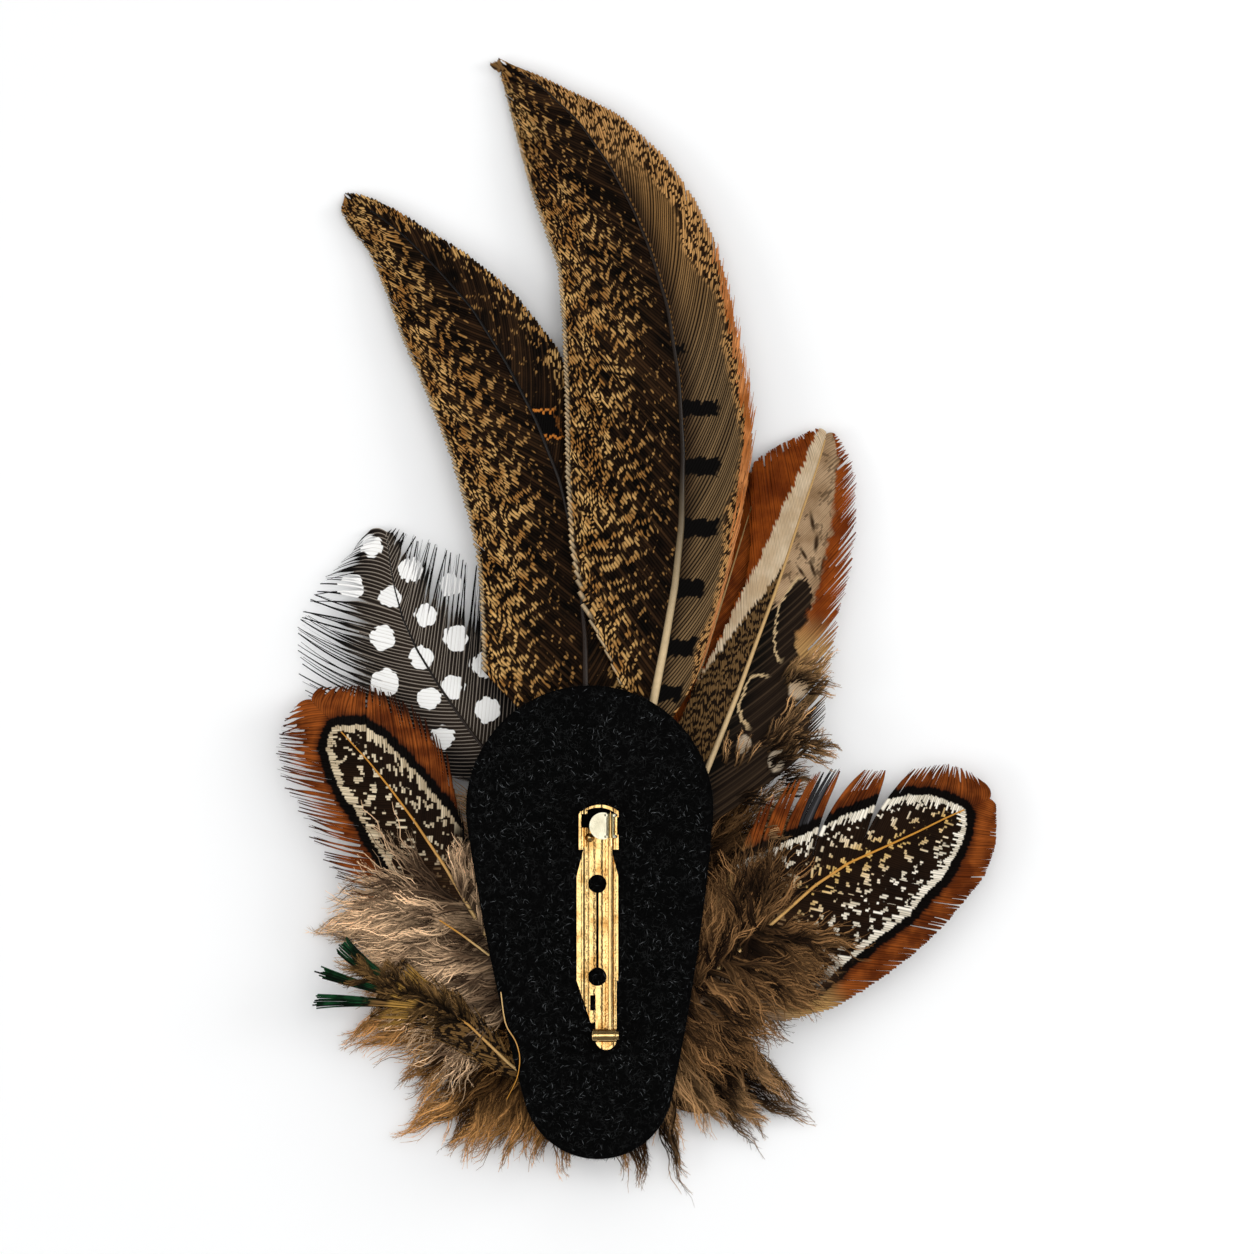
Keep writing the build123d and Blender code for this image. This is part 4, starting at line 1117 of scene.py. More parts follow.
def make_felt(felt_material, fibre_materials):
    """The felt wall with rounded, slightly uneven edges, and the short fibres that stand on it."""
    rng = np.random.default_rng(SEED + 50)
    weave = Weave()
    thickness = FELT_BACK - FELT_FRONT
    curve = np.radians(np.linspace(0, 90, 5))
    side = [(FELT_EDGE_ROUND * (1 - math.sin(a)), FELT_EDGE_ROUND * (1 - math.cos(a))) for a in curve]
    profile = [(inset, FELT_FRONT + rise) for inset, rise in side]
    profile = [(9 * MM, FELT_FRONT), (4 * MM, FELT_FRONT)] + profile
    mirrored = [(inset, FELT_FRONT + thickness - (z - FELT_FRONT)) for inset, z in reversed(profile)]
    loops = profile + mirrored
    rings = []
    for inset, z in loops:
        x, y = felt_outline(inset, WALL_STEPS)
        rings.append(np.stack([x, y, np.full(len(x), z)], axis=-1))
    rings = np.array(rings)
    swell = rounded(rng.normal(0, 1, rings.shape[1]), 6)
    rings[:, :, 2] += FELT_RIPPLE * swell * (rings[:, :, 2] > (FELT_FRONT + FELT_BACK) / 2)
    count = rings.shape[1]
    weave.add(rings, grid_faces(len(loops), count, closed=True), {})
    for ring, flip in ((0, True), (len(loops) - 1, False)):
        centre = rings[ring].mean(axis=0)
        points = np.concatenate([rings[ring], centre[None]])
        fan = np.stack([np.arange(count), (np.arange(count) + 1) % count, np.full(count, count)], axis=-1)
        weave.add(points, fan[:, ::-1] if flip else fan, {})
    lay_felt_fibres(weave, rng)
    piece = weave.make("felt_wall", [felt_material] + fibre_materials)
    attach(piece, "plume")
    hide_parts("felt_backing")
    return piece


def lay_felt_fibres(weave, rng):
    """Short curled fibres lying on the felt's back and standing off its edge."""
    x, y = felt_outline(0, 600)
    low, high = (x.min(), y.min()), (x.max(), y.max())
    place = rng.uniform(low, high, (FELT_FIBRES * 2, 2))
    outline = np.stack([x, y], axis=-1)[::6]
    inner = distance_to(outline, place[:, 0], place[:, 1])
    place = place[inner < -0.3 * MM][:FELT_FIBRES]
    count = len(place)
    turn = rng.uniform(0, 2 * math.pi, (count, 1))
    curl = rng.normal(0, 1.2, (count, 1))
    v = np.linspace(0, 1, 5)[None]
    size = rng.uniform(0.3, 1.1, (count, 1)) * MM
    angle = turn + curl * v
    run = size / 5
    px = place[:, :1] + np.cumsum(np.cos(angle) * run, axis=1)
    py = place[:, 1:] + np.cumsum(np.sin(angle) * run, axis=1)
    pz = FELT_BACK + (0.01 + 0.06 * rng.uniform(0, 1, (count, 1)) * np.sin(math.pi * v)) * MM
    middle = np.stack([px, py, np.broadcast_to(pz, px.shape)], axis=-1)
    _, out = directions(middle)
    half = np.broadcast_to(0.032 * MM * (1 - 0.6 * np.abs(2 * v - 1)), px.shape)
    pale = rng.uniform(0, 1, count) < FELT_PALE_SHARE
    for chosen, tag in ((~pale, 1), (pale, 2)):
        weave.strips(middle[chosen], half[chosen], out[chosen], tag)

    edge = rng.integers(0, len(x), FELT_EDGE_FIBRES)
    z = rng.uniform(FELT_FRONT + 0.3 * MM, FELT_BACK - 0.1 * MM, FELT_EDGE_FIBRES)
    root = np.stack([x[edge], y[edge], z], axis=-1)
    centre = np.array((x.mean(), y.mean(), 0))
    away = unit((root - centre) * (1, 1, 0))
    aim = unit(away + rng.normal(0, 0.7, root.shape))
    tip = root + aim * rng.uniform(0.15, 0.5, (FELT_EDGE_FIBRES, 1)) * MM
    wide = unit(np.cross(aim, (0.3, 0.2, 1))) * 0.03 * MM
    weave.hairs(root, tip, wide, {}, 1)


class Value:
    """A colour, place or number that varies over a surface. Numbers take sums as plain ones do."""

    def __init__(self, nodes, socket):
        self.nodes = nodes
        self.socket = socket

    def __add__(self, other):
        return self.nodes.math("ADD", self, other)

    def __sub__(self, other):
        return self.nodes.math("SUBTRACT", self, other)

    def __rsub__(self, other):
        return self.nodes.math("SUBTRACT", other, self)

    def __mul__(self, other):
        return self.nodes.math("MULTIPLY", self, other)

    def __truediv__(self, other):
        return self.nodes.math("DIVIDE", self, other)

    def __pow__(self, other):
        return self.nodes.math("POWER", self, other)

    def __abs__(self):
        return self.nodes.math("ABSOLUTE", self)


class Nodes:
    """Short way to add and link shader nodes in one tree."""

    def __init__(self, tree):
        self.tree = tree

    def feed(self, socket, value):
        if isinstance(value, Value):
            self.tree.links.new(value.socket, socket)
        else:
            socket.default_value = value

    def outputs(self, kind, inputs, **settings):
        """All outputs of a new node by their names, with its settings made and its inputs fed."""
        node = self.tree.nodes.new("ShaderNode" + kind)
        for name, value in settings.items():
            setattr(node, name, value)
        for key, value in inputs.items():
            self.feed(node.inputs[key], value)
        return {socket.name: Value(self, socket) for socket in node.outputs if socket.enabled}

    def add(self, kind, inputs, output=None, **settings):
        """One output of a new node, the first unless it is named."""
        outputs = self.outputs(kind, inputs, **settings)
        return outputs[output] if output else next(iter(outputs.values()))

    def math(self, operation, a, b=0.0):
        return self.add("Math", {0: a, 1: b}, operation=operation)

    def vector(self, operation, a, b):
        return self.add("VectorMath", {0: a, 1: b}, operation=operation)

    def parts(self, vector):
        """The three numbers of a vector."""
        return tuple(self.outputs("SeparateXYZ", {0: vector}).values())

    def uv(self, name):
        """The two numbers of a surface map."""
        return self.parts(self.add("UVMap", {}, uv_map=name))[:2]

    def place(self):
        """Position in the frame, in millimetres."""
        metres = self.add("TexCoord", {}, "Object")
        return self.add("VectorMath", {0: metres, "Scale": 1 / MM}, operation="SCALE")

    def join(self, x, y, z=0.0):
        return self.add("CombineXYZ", {0: x, 1: y, 2: z})

    def noise(self, vector, scale, detail=2.0, roughness=0.5, distortion=0.0):
        inputs = {"Vector": vector, "Scale": scale, "Detail": detail, "Roughness": roughness}
        return self.add("TexNoise", {**inputs, "Distortion": distortion})

    def scatter(self, number):
        """A random number from 0 to 1 for each whole number."""
        return self.add("TexWhiteNoise", {"W": self.math("FLOOR", number)}, noise_dimensions="1D")

    def ramp(self, value, low, high):
        """Smooth step of a value from 0 at low to 1 at high."""
        inputs = {"Value": value, "From Min": low, "From Max": high}
        return self.add("MapRange", inputs, interpolation_type="SMOOTHSTEP")

    def mix(self, factor, a, b, blend="MIX"):
        return self.add("Mix", {0: factor, 6: a, 7: b}, data_type="RGBA", blend_type=blend)

    def group(self, tree, inputs):
        return self.outputs("Group", inputs, node_tree=tree)

    def bump(self, shader, height, distance, strength):
        """Relief of a height, at a distance in metres."""
        relief = self.add("Bump", {"Height": height, "Distance": distance, "Strength": strength})
        self.feed(shader.inputs["Normal"], relief)


def rgb(red, green, blue):
    """A colour from its 0 to 255 screen values."""
    shares = [value / 255 for value in (red, green, blue)]
    linear = [share / 12.92 if share <= 0.04045 else ((share + 0.055) / 1.055) ** 2.4 for share in shares]
    return (*linear, 1.0)


def new_group(name, inputs, outputs):
    """A shader node group of named numbers: its tree, nodes, given inputs and the results to feed."""
    tree = bpy.data.node_groups.new(name, "ShaderNodeTree")
    for label, default in inputs.items():
        socket = tree.interface.new_socket(label, in_out="INPUT", socket_type="NodeSocketFloat")
        socket.default_value = default
    for label in outputs:
        tree.interface.new_socket(label, in_out="OUTPUT", socket_type="NodeSocketFloat")
    nodes = Nodes(tree)
    sockets = tree.nodes.new("NodeGroupInput").outputs
    given = {label: Value(nodes, sockets[label]) for label in inputs}
    result = tree.nodes.new("NodeGroupOutput").inputs
    return tree, nodes, given, result


def off_middle(nodes, number):
    """Distance from a barb's middle line, 0 on it and 1 at the barb's edges."""
    return abs(nodes.math("FRACT", number) * 2.0 - 1.0)


def build_barb_lines():
    """Fine lines along the barbs: painted shade in the gaps between them, and a tone of its own for each
    barb.
    """
    inputs = {"Depth": 0.5, "Variation": 0.2}
    tree, nodes, given, result = new_group("Barb lines", inputs, ("Shade", "Tone"))
    number, _ = nodes.uv("strand")
    off = off_middle(nodes, number)
    tone = nodes.scatter(number)
    # Painted shade: each barb darkens towards its edges, as the gaps between barbs do in shade, as far as
    # Depth says.
    gap = nodes.ramp(off, 0.15, 0.95) * given["Depth"]
    own = (tone - 0.5) * given["Variation"]
    shade = 1.0 - gap + own
    nodes.feed(result["Shade"], nodes.math("MAXIMUM", shade, 0.02))
    nodes.feed(result["Tone"], tone)
    return tree


def build_mottling():
    """Dashes along the barbs in wavy rows across them. They step from each barb to the next, or run on."""
    inputs = {"Period": 2.0, "Balance": 0.5, "Softness": 0.06, "Warp": 3.0, "Jitter": 0.2, "Fineness": 0.0}
    inputs.update({"Breaks": 1.2, "Run on": 0.0})
    tree, nodes, given, result = new_group("Mottling", inputs, ("Mask",))
    root, along = nodes.uv("barb")
    number, _ = nodes.uv("strand")
    tone = nodes.scatter(number)
    across = (nodes.math("FRACT", number) - 0.5) * given["Run on"]
    root = across * BARB_PITCH + root
    whole = nodes.math("FLOOR", number) + across
    broad_place = nodes.join(root * 0.4, along * 0.4, 3.0)
    fine_place = nodes.join(whole * 0.42, along * 0.7, 7.0)
    field = nodes.noise(broad_place, 1.0, 1.5)
    fine = nodes.noise(fine_place, 1.0, 1.0)
    reach = root * 0.87 + along
    shift = (field - 0.5) * given["Warp"]
    shift = (tone - 0.5) * given["Jitter"] + shift
    phase = reach / given["Period"] + shift
    wide = nodes.math("SINE", phase * (2 * math.pi))
    close = nodes.math("SINE", phase * (3.6 * math.pi))
    wave = (close - wide) * given["Fineness"] + wide
    value = wave * 0.25 + 0.5
    value = (fine - 0.5) * given["Breaks"] + value
    low = given["Balance"] - given["Softness"]
    high = given["Balance"] + given["Softness"]
    nodes.feed(result["Mask"], nodes.ramp(value, low, high))
    return tree


BARB_LINES = build_barb_lines()
MOTTLING = build_mottling()


def new_material(name, roughness, **settings):
    """A material with its Principled shader, whose plain values are set on its own sockets."""
    material = bpy.data.materials.new(name)
    material.use_nodes = True
    shader = material.node_tree.nodes["Principled BSDF"]
    shader.inputs["Roughness"].default_value = roughness
    shader.inputs["Specular IOR Level"].default_value = 0.04
    for label, value in settings.items():
        shader.inputs[label.replace("_", " ")].default_value = value
    return material, Nodes(material.node_tree), shader


def shaded(nodes, colour, shade):
    """A colour darkened by a shade."""
    grey = nodes.join(shade, shade, shade)
    return nodes.mix(1.0, colour, grey, "MULTIPLY")


def one_side(nodes, across, side):
    """1 on one side of the quill and 0 on the other."""
    return nodes.ramp(across * side, -0.01, 0.01)


def tail_material(name, bars, right_plain, row_period):
    """Golden dashes on black-brown, with black bars right of the quill.

    bars: rows of height, depth and width in millimetres. right_plain: whether the right vane has plain lined
    barbs inside a mottled edge. row_period: millimetres from one row of dashes to the next.
    """
    material, nodes, shader = new_material(name, 0.5)
    lines = nodes.group(BARB_LINES, {"Depth": 0.75, "Variation": 0.3})
    at, across = nodes.uv("vane")
    spread = abs(across)
    right = one_side(nodes, across, 1.0)
    place = nodes.place()
    patch = nodes.noise(place, 0.12, 1.0) - 0.5
    reach = patch * 0.7 + spread
    if not right_plain:
        reach = reach - right * 0.3
        reach = nodes.ramp(at, 0.86, 0.96) * 0.6 + reach
    inwards = nodes.ramp(reach, 0.80, 0.0)
    blotch = nodes.noise(place, 0.42, 1.0) - 0.5
    balance = blotch * 0.36 + (inwards * 0.28 + 0.56)
    settings = {"Period": row_period, "Balance": balance, "Warp": 2.4, "Breaks": 1.0, "Run on": 1.0}
    settings["Fineness"] = nodes.ramp(reach, 0.5, 0.75) * 0.7
    mask = nodes.group(MOTTLING, settings)["Mask"]
    tint = nodes.noise(place, 0.35, 2.0)
    buff = nodes.mix(nodes.ramp(tint, 0.35, 0.65), rgb(160, 110, 54), rgb(216, 170, 104))
    buff = nodes.mix(inwards, buff, rgb(140, 102, 56))
    dark = nodes.mix(nodes.ramp(tint, 0.3, 0.7), rgb(10, 6, 3), rgb(36, 21, 9))
    threads = nodes.ramp(lines["Tone"], 0.4, 0.95) * 0.4
    dark = nodes.mix(threads, dark, rgb(72, 48, 26))
    colour = nodes.mix(mask, dark, buff)
    if right_plain:
        plain = nodes.mix(nodes.ramp(at, 0.50, 0.75), rgb(114, 90, 60), rgb(128, 94, 54))
        plain = nodes.mix(nodes.ramp(spread, 0.40, 0.0), plain, rgb(52, 36, 22))
        inner_edge = 0.82 - nodes.ramp(at, 0.5, 0.72) * 0.24
        off_edge = patch * 0.5 + spread - inner_edge
        inner = right * nodes.ramp(off_edge, 0.04, -0.08)
        inner = inner * nodes.ramp(patch * 0.2 + at, 0.88, 0.74)
        settings = {"Period": 1.5, "Balance": 0.47, "Jitter": 0.3, "Breaks": 1.2, "Warp": 3.0, "Run on": 1.0}
        lens = nodes.group(MOTTLING, settings)["Mask"]
        outer = nodes.mix(lens, rgb(44, 27, 12), nodes.mix(tint, rgb(176, 126, 70), rgb(208, 158, 98)))
        colour = nodes.mix(right, colour, outer)
        colour = nodes.mix(inner, colour, plain)
        rim = right * nodes.ramp(spread, 0.92, 0.96)
        rim_colour = nodes.mix(nodes.ramp(at, 0.75, 0.60), rgb(190, 140, 88), rgb(196, 128, 76))
        colour = nodes.mix(rim, colour, rim_colour)
    left_rim = one_side(nodes, across, -1.0) * nodes.ramp(spread, 0.955, 0.98)
    colour = nodes.mix(left_rim * 0.7, colour, rgb(196, 172, 136))
    # Painted shade in the gaps between the barbs.
    shade = lines["Shade"]
    if right_plain:
        # Deeper painted shade between the barbs of the plain inner zone.
        deep = (lines["Shade"] - 1.0) * 0.9 + lines["Shade"]
        deep = nodes.math("MAXIMUM", deep, 0.05)
        shade = (deep - shade) * inner + shade
    colour = shaded(nodes, colour, shade)
    _, height, _ = nodes.parts(place)
    wobble = nodes.noise(place, 0.9, 2.0) - 0.5
    height = wobble * 1.3 + height
    height = (lines["Tone"] - 0.5) * 0.5 + height
    _, aside = nodes.uv("offset")
    if right_plain:
        golden = nodes.ramp(aside, 0.12, 0.18) * nodes.ramp(aside, 0.4, 0.3)
        colour = nodes.mix(golden * 0.5, colour, rgb(160, 114, 60))
    aside = wobble * 1.8 + aside
    for middle, deep, wide in bars:
        off = abs(height - middle)
        near = right * nodes.ramp(aside, wide + 0.3, wide - 0.3)
        if not right_plain:
            edge = near * nodes.ramp(off, deep / 2 + 0.45, deep / 2 + 0.25)
            colour = nodes.mix(edge, colour, rgb(196, 118, 46))
        bar = near * nodes.ramp(off, deep / 2 + 0.12, deep / 2 - 0.12)
        colour = nodes.mix(bar, colour, rgb(8, 6, 5))
    nodes.feed(shader.inputs["Base Color"], colour)
    return material


def spotted_material():
    """Dark barbs with pale gaps, black tips and white spots broken up by the barbs."""
    material, nodes, shader = new_material("Spotted barbs", 0.5)
    number, along = nodes.uv("strand")
    off = off_middle(nodes, number)
    _, aside = nodes.uv("vane")
    spread = abs(aside)
    gap = nodes.mix(nodes.ramp(spread, 0.1, 0.6), rgb(166, 154, 140), rgb(120, 110, 100))
    dark = nodes.mix(nodes.ramp(spread, 0.0, 0.6), rgb(44, 36, 30), rgb(14, 12, 11))
    colour = nodes.mix(nodes.ramp(off, 0.45, 0.95), dark, gap)
    colour = nodes.mix(nodes.ramp(along, 0.54, 0.66), colour, rgb(16, 14, 13))
    place = nodes.place()
    tone = nodes.scatter(number)
    flat = nodes.vector("MULTIPLY", place, (1.0, 1.0, 0.0))
    best = 10.0
    for x, y, radius in WHITE_SPOTS:
        away = nodes.vector("DISTANCE", flat, (x, y, 0.0))
        best = nodes.math("MINIMUM", away - radius, best)
    warp = nodes.noise(place, 0.9, 1.0) - 0.5
    best = (tone - 0.5) * 0.45 + best
    best = warp * 0.8 + best
    spot = nodes.ramp(best, 0.08, -0.04)
    white = nodes.mix(nodes.ramp(off, 0.6, 1.0), rgb(248, 247, 244), rgb(218, 214, 208))
    nodes.feed(shader.inputs["Base Color"], nodes.mix(spot, colour, white))
    return material


def chestnut_material(name, band, dark_tips, cream_colours, low_open, gold, sooty):
    """Chestnut rim, black band and cream edge round an eye of cream flecks on black, with brown below.

    band: width of the cream edge in millimetres. dark_tips: strength of the rim's dark tips. cream_colours:
    of the edge and the flecks, from barb to barb. low_open: shares of the length over which the cream edge
    starts. gold: the flecks' colour by the quill. sooty: first and last place along the quill, in
    millimetres, of a sooty tuft on the left, or None.
    """
    material, nodes, shader = new_material(name, 0.5)
    lines = nodes.group(BARB_LINES, {"Depth": 0.5, "Variation": 0.3})
    at, across = nodes.uv("vane")
    _, along = nodes.uv("strand")
    spread = abs(across)
    edge, _ = nodes.uv("eye")
    jitter = lines["Tone"] - 0.5
    drift = nodes.noise(nodes.place(), 0.5, 2.0) - 0.5
    edge = drift * 0.8 + (jitter * 0.25 + edge)
    inner_edge = jitter * 0.7 + edge
    tint = nodes.noise(nodes.place(), 0.3, 3.0)
    rim = nodes.mix(nodes.ramp(tint, 0.35, 0.65), rgb(98, 42, 8), rgb(150, 76, 26))
    rim = nodes.mix(nodes.ramp(edge, 2.2, 1.0), rim, rgb(84, 38, 12))
    tip = nodes.ramp(along, 0.8, 0.95) * dark_tips
    rim = nodes.mix(tip, rim, rgb(30, 14, 8))
    rim = nodes.mix(nodes.ramp(at, 0.44, 0.34), rim, rgb(176, 138, 84))
    if sooty:
        root, _ = nodes.uv("barb")
        low, high = sooty
        tuft = nodes.ramp(root, low, low + 0.1) * nodes.ramp(root, high + 0.1, high)
        tuft = tuft * one_side(nodes, across, -1.0)
        rim = nodes.mix(tuft, rim, nodes.mix(lines["Tone"], rgb(24, 22, 22), rgb(84, 82, 84)))
    black = rgb(12, 8, 6)
    cream = nodes.mix(lines["Tone"], *cream_colours)
    settings = {"Period": 2.4, "Balance": 0.73, "Softness": 0.03, "Warp": 2.0, "Jitter": 0.35, "Breaks": 1.5}
    flecks = nodes.group(MOTTLING, settings)["Mask"]
    fleck = nodes.mix(nodes.ramp(spread, 0.42, 0.0), cream, gold)
    inside = nodes.mix(flecks, nodes.mix(tint, rgb(12, 8, 6), rgb(46, 28, 14)), fleck)
    colour = nodes.mix(nodes.ramp(edge, 1.05, 1.35), black, rim)
    band_mask = nodes.ramp(edge, 0.1, -0.05) * nodes.ramp(at, *low_open)
    colour = nodes.mix(band_mask, colour, cream)
    colour = nodes.mix(nodes.ramp(inner_edge, -band, -band - 0.12), colour, inside)
    fade = at - (tint - 0.5) * 0.14
    brown = nodes.mix(flecks, rgb(52, 34, 20), rgb(128, 100, 70))
    inner_part = nodes.ramp(fade, 0.48, 0.38) * nodes.ramp(spread, 0.9, 0.7)
    colour = nodes.mix(inner_part, colour, brown)
    grey = nodes.mix(lines["Tone"], rgb(66, 50, 38), rgb(132, 108, 86))
    colour = nodes.mix(nodes.ramp(fade, 0.34, 0.20), colour, grey)
    # Darkened by painted shade in the gaps between the barbs.
    nodes.feed(shader.inputs["Base Color"], shaded(nodes, colour, lines["Shade"]))
    return material


def blot(nodes, place, x, y, wide, tall, lean):
    """Distance from the middle of a leaning oval, 1 on its edge, and the part of it to the right."""
    away = nodes.vector("SUBTRACT", place, (x, y, 0.0))
    turn = {"Vector": away, "Angle": math.radians(lean)}
    turned = nodes.add("VectorRotate", turn, rotation_type="Z_AXIS")
    scaled = nodes.vector("MULTIPLY", turned, (1 / wide, 1 / tall, 0.0))
    sideways, _, _ = nodes.parts(scaled)
    return nodes.add("VectorMath", {0: scaled}, operation="LENGTH"), sideways


def buff_material():
    """Rufous outer vanes, a cream strip by the quill, a dark heart with cream marks, and brown below."""
    material, nodes, shader = new_material("Buff and rufous barbs", 0.5)
    lines = nodes.group(BARB_LINES, {"Depth": 0.4, "Variation": 0.12})
    at, across = nodes.uv("vane")
    _, aside = nodes.uv("offset")
    spread = abs(across)
    left = one_side(nodes, across, -1.0)
    place = nodes.place()
    tint = nodes.noise(place, 0.35, 3.0)
    wob = tint - 0.5
    jitter = lines["Tone"] - 0.5
    rufous = nodes.mix(nodes.ramp(tint, 0.3, 0.7), rgb(104, 42, 5), rgb(148, 70, 17))
    cream = nodes.mix(nodes.ramp(tint, 0.3, 0.7), rgb(200, 172, 136), rgb(222, 200, 168))
    settings = {"Period": 1.2, "Balance": 0.52, "Jitter": 0.4, "Breaks": 1.3, "Run on": 0.8}
    mottle = nodes.group(MOTTLING, settings)["Mask"]
    brown = nodes.mix(mottle, rgb(28, 18, 9), rgb(112, 84, 50))

    out_left = jitter * 0.5 - aside
    outer_at = 7.9 - at * 6.8
    inner_at = 12.0 - at * 17.6
    colour_left = nodes.mix(nodes.ramp(out_left, outer_at, outer_at + 0.25), cream, rufous)
    near_quill = nodes.ramp(out_left, inner_at + 0.3, inner_at)
    colour_left = nodes.mix(near_quill, colour_left, brown)

    fine = nodes.mix(nodes.ramp(tint, 0.3, 0.7), rgb(146, 116, 84), rgb(180, 150, 116))
    ripple = nodes.group(MOTTLING, {"Period": 3.4, "Balance": 0.76, "Warp": 2.0, "Jitter": 0.2})["Mask"]
    colour_right = nodes.mix(ripple * 0.6, fine, rgb(62, 44, 26))
    black = nodes.mix(nodes.ramp(aside, 0.5, 3.5), rgb(10, 8, 5), rgb(32, 22, 14))
    threads = nodes.ramp(lines["Tone"], 0.35, 0.95) * 0.38
    black = nodes.mix(threads, black, rgb(84, 66, 48))
    heart = jitter * 0.03 + (wob * 0.1 + at)
    heart = aside * 0.0139 + heart
    colour_right = nodes.mix(nodes.ramp(heart, 0.62, 0.59), colour_right, black)
    for x, y, half_width, half_length, lean, kind in BUFF_MARKS:
        near, sideways = blot(nodes, place, x, y, half_width, half_length, lean)
        near = jitter * 0.16 + (wob * 0.5 + near)
        if kind == "streak":
            colour_right = nodes.mix(nodes.ramp(near, 1.4, 0.3), colour_right, rgb(58, 40, 24))
        elif kind == "ringed":
            ring = nodes.ramp(near, 1.18, 1.11) * nodes.ramp(sideways, 0.15, -0.4)
            colour_right = nodes.mix(ring, colour_right, rgb(196, 168, 126))
            colour_right = nodes.mix(nodes.ramp(near, 1.06, 0.98), colour_right, black)
        else:
            colour_right = nodes.mix(nodes.ramp(near, 1.1, 0.8), colour_right, rgb(188, 170, 146))
    rim = nodes.ramp(wob * 0.5 + spread, 0.52, 0.6)
    rim = rim * nodes.ramp(at, 0.4, 0.5)
    rim_colour = nodes.mix(nodes.ramp(at, 0.62, 0.52), rufous, rgb(176, 136, 84))
    colour_right = nodes.mix(rim, colour_right, rim_colour)
    colour = nodes.mix(left, colour_right, colour_left)
    # Darkened by painted shade in the gaps between the barbs.
    nodes.feed(shader.inputs["Base Color"], shaded(nodes, colour, lines["Shade"]))
    return material


def rufous_material(name, low, high):
    """Plain rufous barbs between two colours, paler at their tips."""
    material, nodes, shader = new_material(name, 0.5)
    lines = nodes.group(BARB_LINES, {"Depth": 0.6, "Variation": 0.5})
    _, along = nodes.uv("strand")
    tint = nodes.noise(nodes.place(), 0.3, 3.0)
    colour = nodes.mix(nodes.ramp(tint, 0.3, 0.7), low, high)
    colour = nodes.mix(nodes.ramp(along, 0.8, 1.0), colour, rgb(186, 118, 66))
    # Darkened by painted shade in the gaps between the barbs.
    nodes.feed(shader.inputs["Base Color"], shaded(nodes, colour, lines["Shade"]))
    return material


def green_material():
    """Brown barbs with a buff patch that turn glossy green-black towards their square tips."""
    material, nodes, shader = new_material("Green-black barbs", 0.3)
    lines = nodes.group(BARB_LINES, {"Depth": 0.8, "Variation": 0.5})
    at, _ = nodes.uv("vane")
    tint = nodes.noise(nodes.place(), 0.5, 2.0)
    green = nodes.mix(nodes.ramp(tint, 0.35, 0.65), rgb(10, 34, 18), rgb(30, 84, 48))
    green = nodes.mix(nodes.ramp(lines["Tone"], 0.15, 0.75), green, rgb(10, 12, 9))
    mottle = nodes.group(MOTTLING, {"Period": 2.0, "Balance": 0.5})["Mask"]
    brown = nodes.mix(mottle, rgb(34, 23, 12), rgb(124, 92, 52))
    colour = nodes.mix(nodes.ramp(at, 0.74, 0.80), brown, green)
    patch = nodes.ramp(at, 0.6, 0.63) * nodes.ramp(at, 0.72, 0.69)
    colour = nodes.mix(patch, colour, rgb(172, 130, 62))
    # Darkened by painted shade in the gaps between the barbs.
    nodes.feed(shader.inputs["Base Color"], shaded(nodes, colour, lines["Shade"]))
    return material


def down_material(name, root_colour, tip_colour):
    """Fluffy down, darker towards the root and paler or golden at the tips, with painted shade deep in the
    clump and a tone of its own for each tuft.
    """
    material, nodes, shader = new_material(name, 0.7)
    number, along = nodes.uv("strand")
    tuft, _ = nodes.uv("barb")
    tone = nodes.scatter(number)
    patch = nodes.noise(nodes.place(), 0.16, 2.0)
    blend = (patch - 0.5) * 1.6 + along
    blend = (tuft - 0.5) * 0.9 + blend
    colour = nodes.mix(nodes.ramp(blend, -0.1, 0.9), root_colour, tip_colour)
    shade = tone**1.6 * 1.6 + 0.34
    shade = shade * (tuft * 0.65 + 0.66)
    # Painted shade: strands darken towards their roots, deep inside the clump.
    shade = shade * (nodes.ramp(along, 0.0, 0.8) * 0.8 + 0.5)
    nodes.feed(shader.inputs["Base Color"], shaded(nodes, colour, shade))
    return material


def core_shade_material():
    """Dark brown heart of the down: partly the down's own brown, partly painted shade of its depths."""
    material, nodes, shader = new_material("Down heart and shade", 0.9)
    fuzz = nodes.noise(nodes.place(), 2.5, 4.0)
    nodes.feed(shader.inputs["Base Color"], nodes.mix(fuzz, rgb(14, 9, 5), rgb(50, 35, 21)))
    nodes.bump(shader, fuzz, 0.3 * MM, 0.8)
    return material


def quill_material(name, low, high, change=(0.1, 0.75)):
    """Horny quill, glossy, from one colour at the root to another at the tip."""
    material, nodes, shader = new_material(name, 0.35, Specular_IOR_Level=0.25)
    _, along = nodes.uv("strand")
    streak = nodes.noise(nodes.place(), 1.2, 3.0)
    colour = nodes.mix(nodes.ramp(along, *change), low, high)
    shade = streak * 0.4 + 0.8
    nodes.feed(shader.inputs["Base Color"], shaded(nodes, colour, shade))
    return material


def felt_material():
    """Black pressed felt."""
    material, nodes, shader = new_material("Black felt", 0.95, Specular_IOR_Level=0.03)
    place = nodes.place()
    matted = nodes.noise(place, 3.0, 5.0, 0.7, 0.6)
    colour = nodes.mix(nodes.ramp(matted, 0.3, 0.75), rgb(3, 3, 3), rgb(9, 9, 9))
    nodes.feed(shader.inputs["Base Color"], colour)
    nodes.bump(shader, matted, 0.12 * MM, 0.7)
    return material


def fibre_material(name, low, high):
    """One kind of loose fibre on the felt."""
    material, nodes, shader = new_material(name, 0.8, Specular_IOR_Level=0.05)
    tint = nodes.noise(nodes.place(), 0.9, 1.0)
    nodes.feed(shader.inputs["Base Color"], nodes.mix(nodes.ramp(tint, 0.35, 0.65), low, high))
    return material


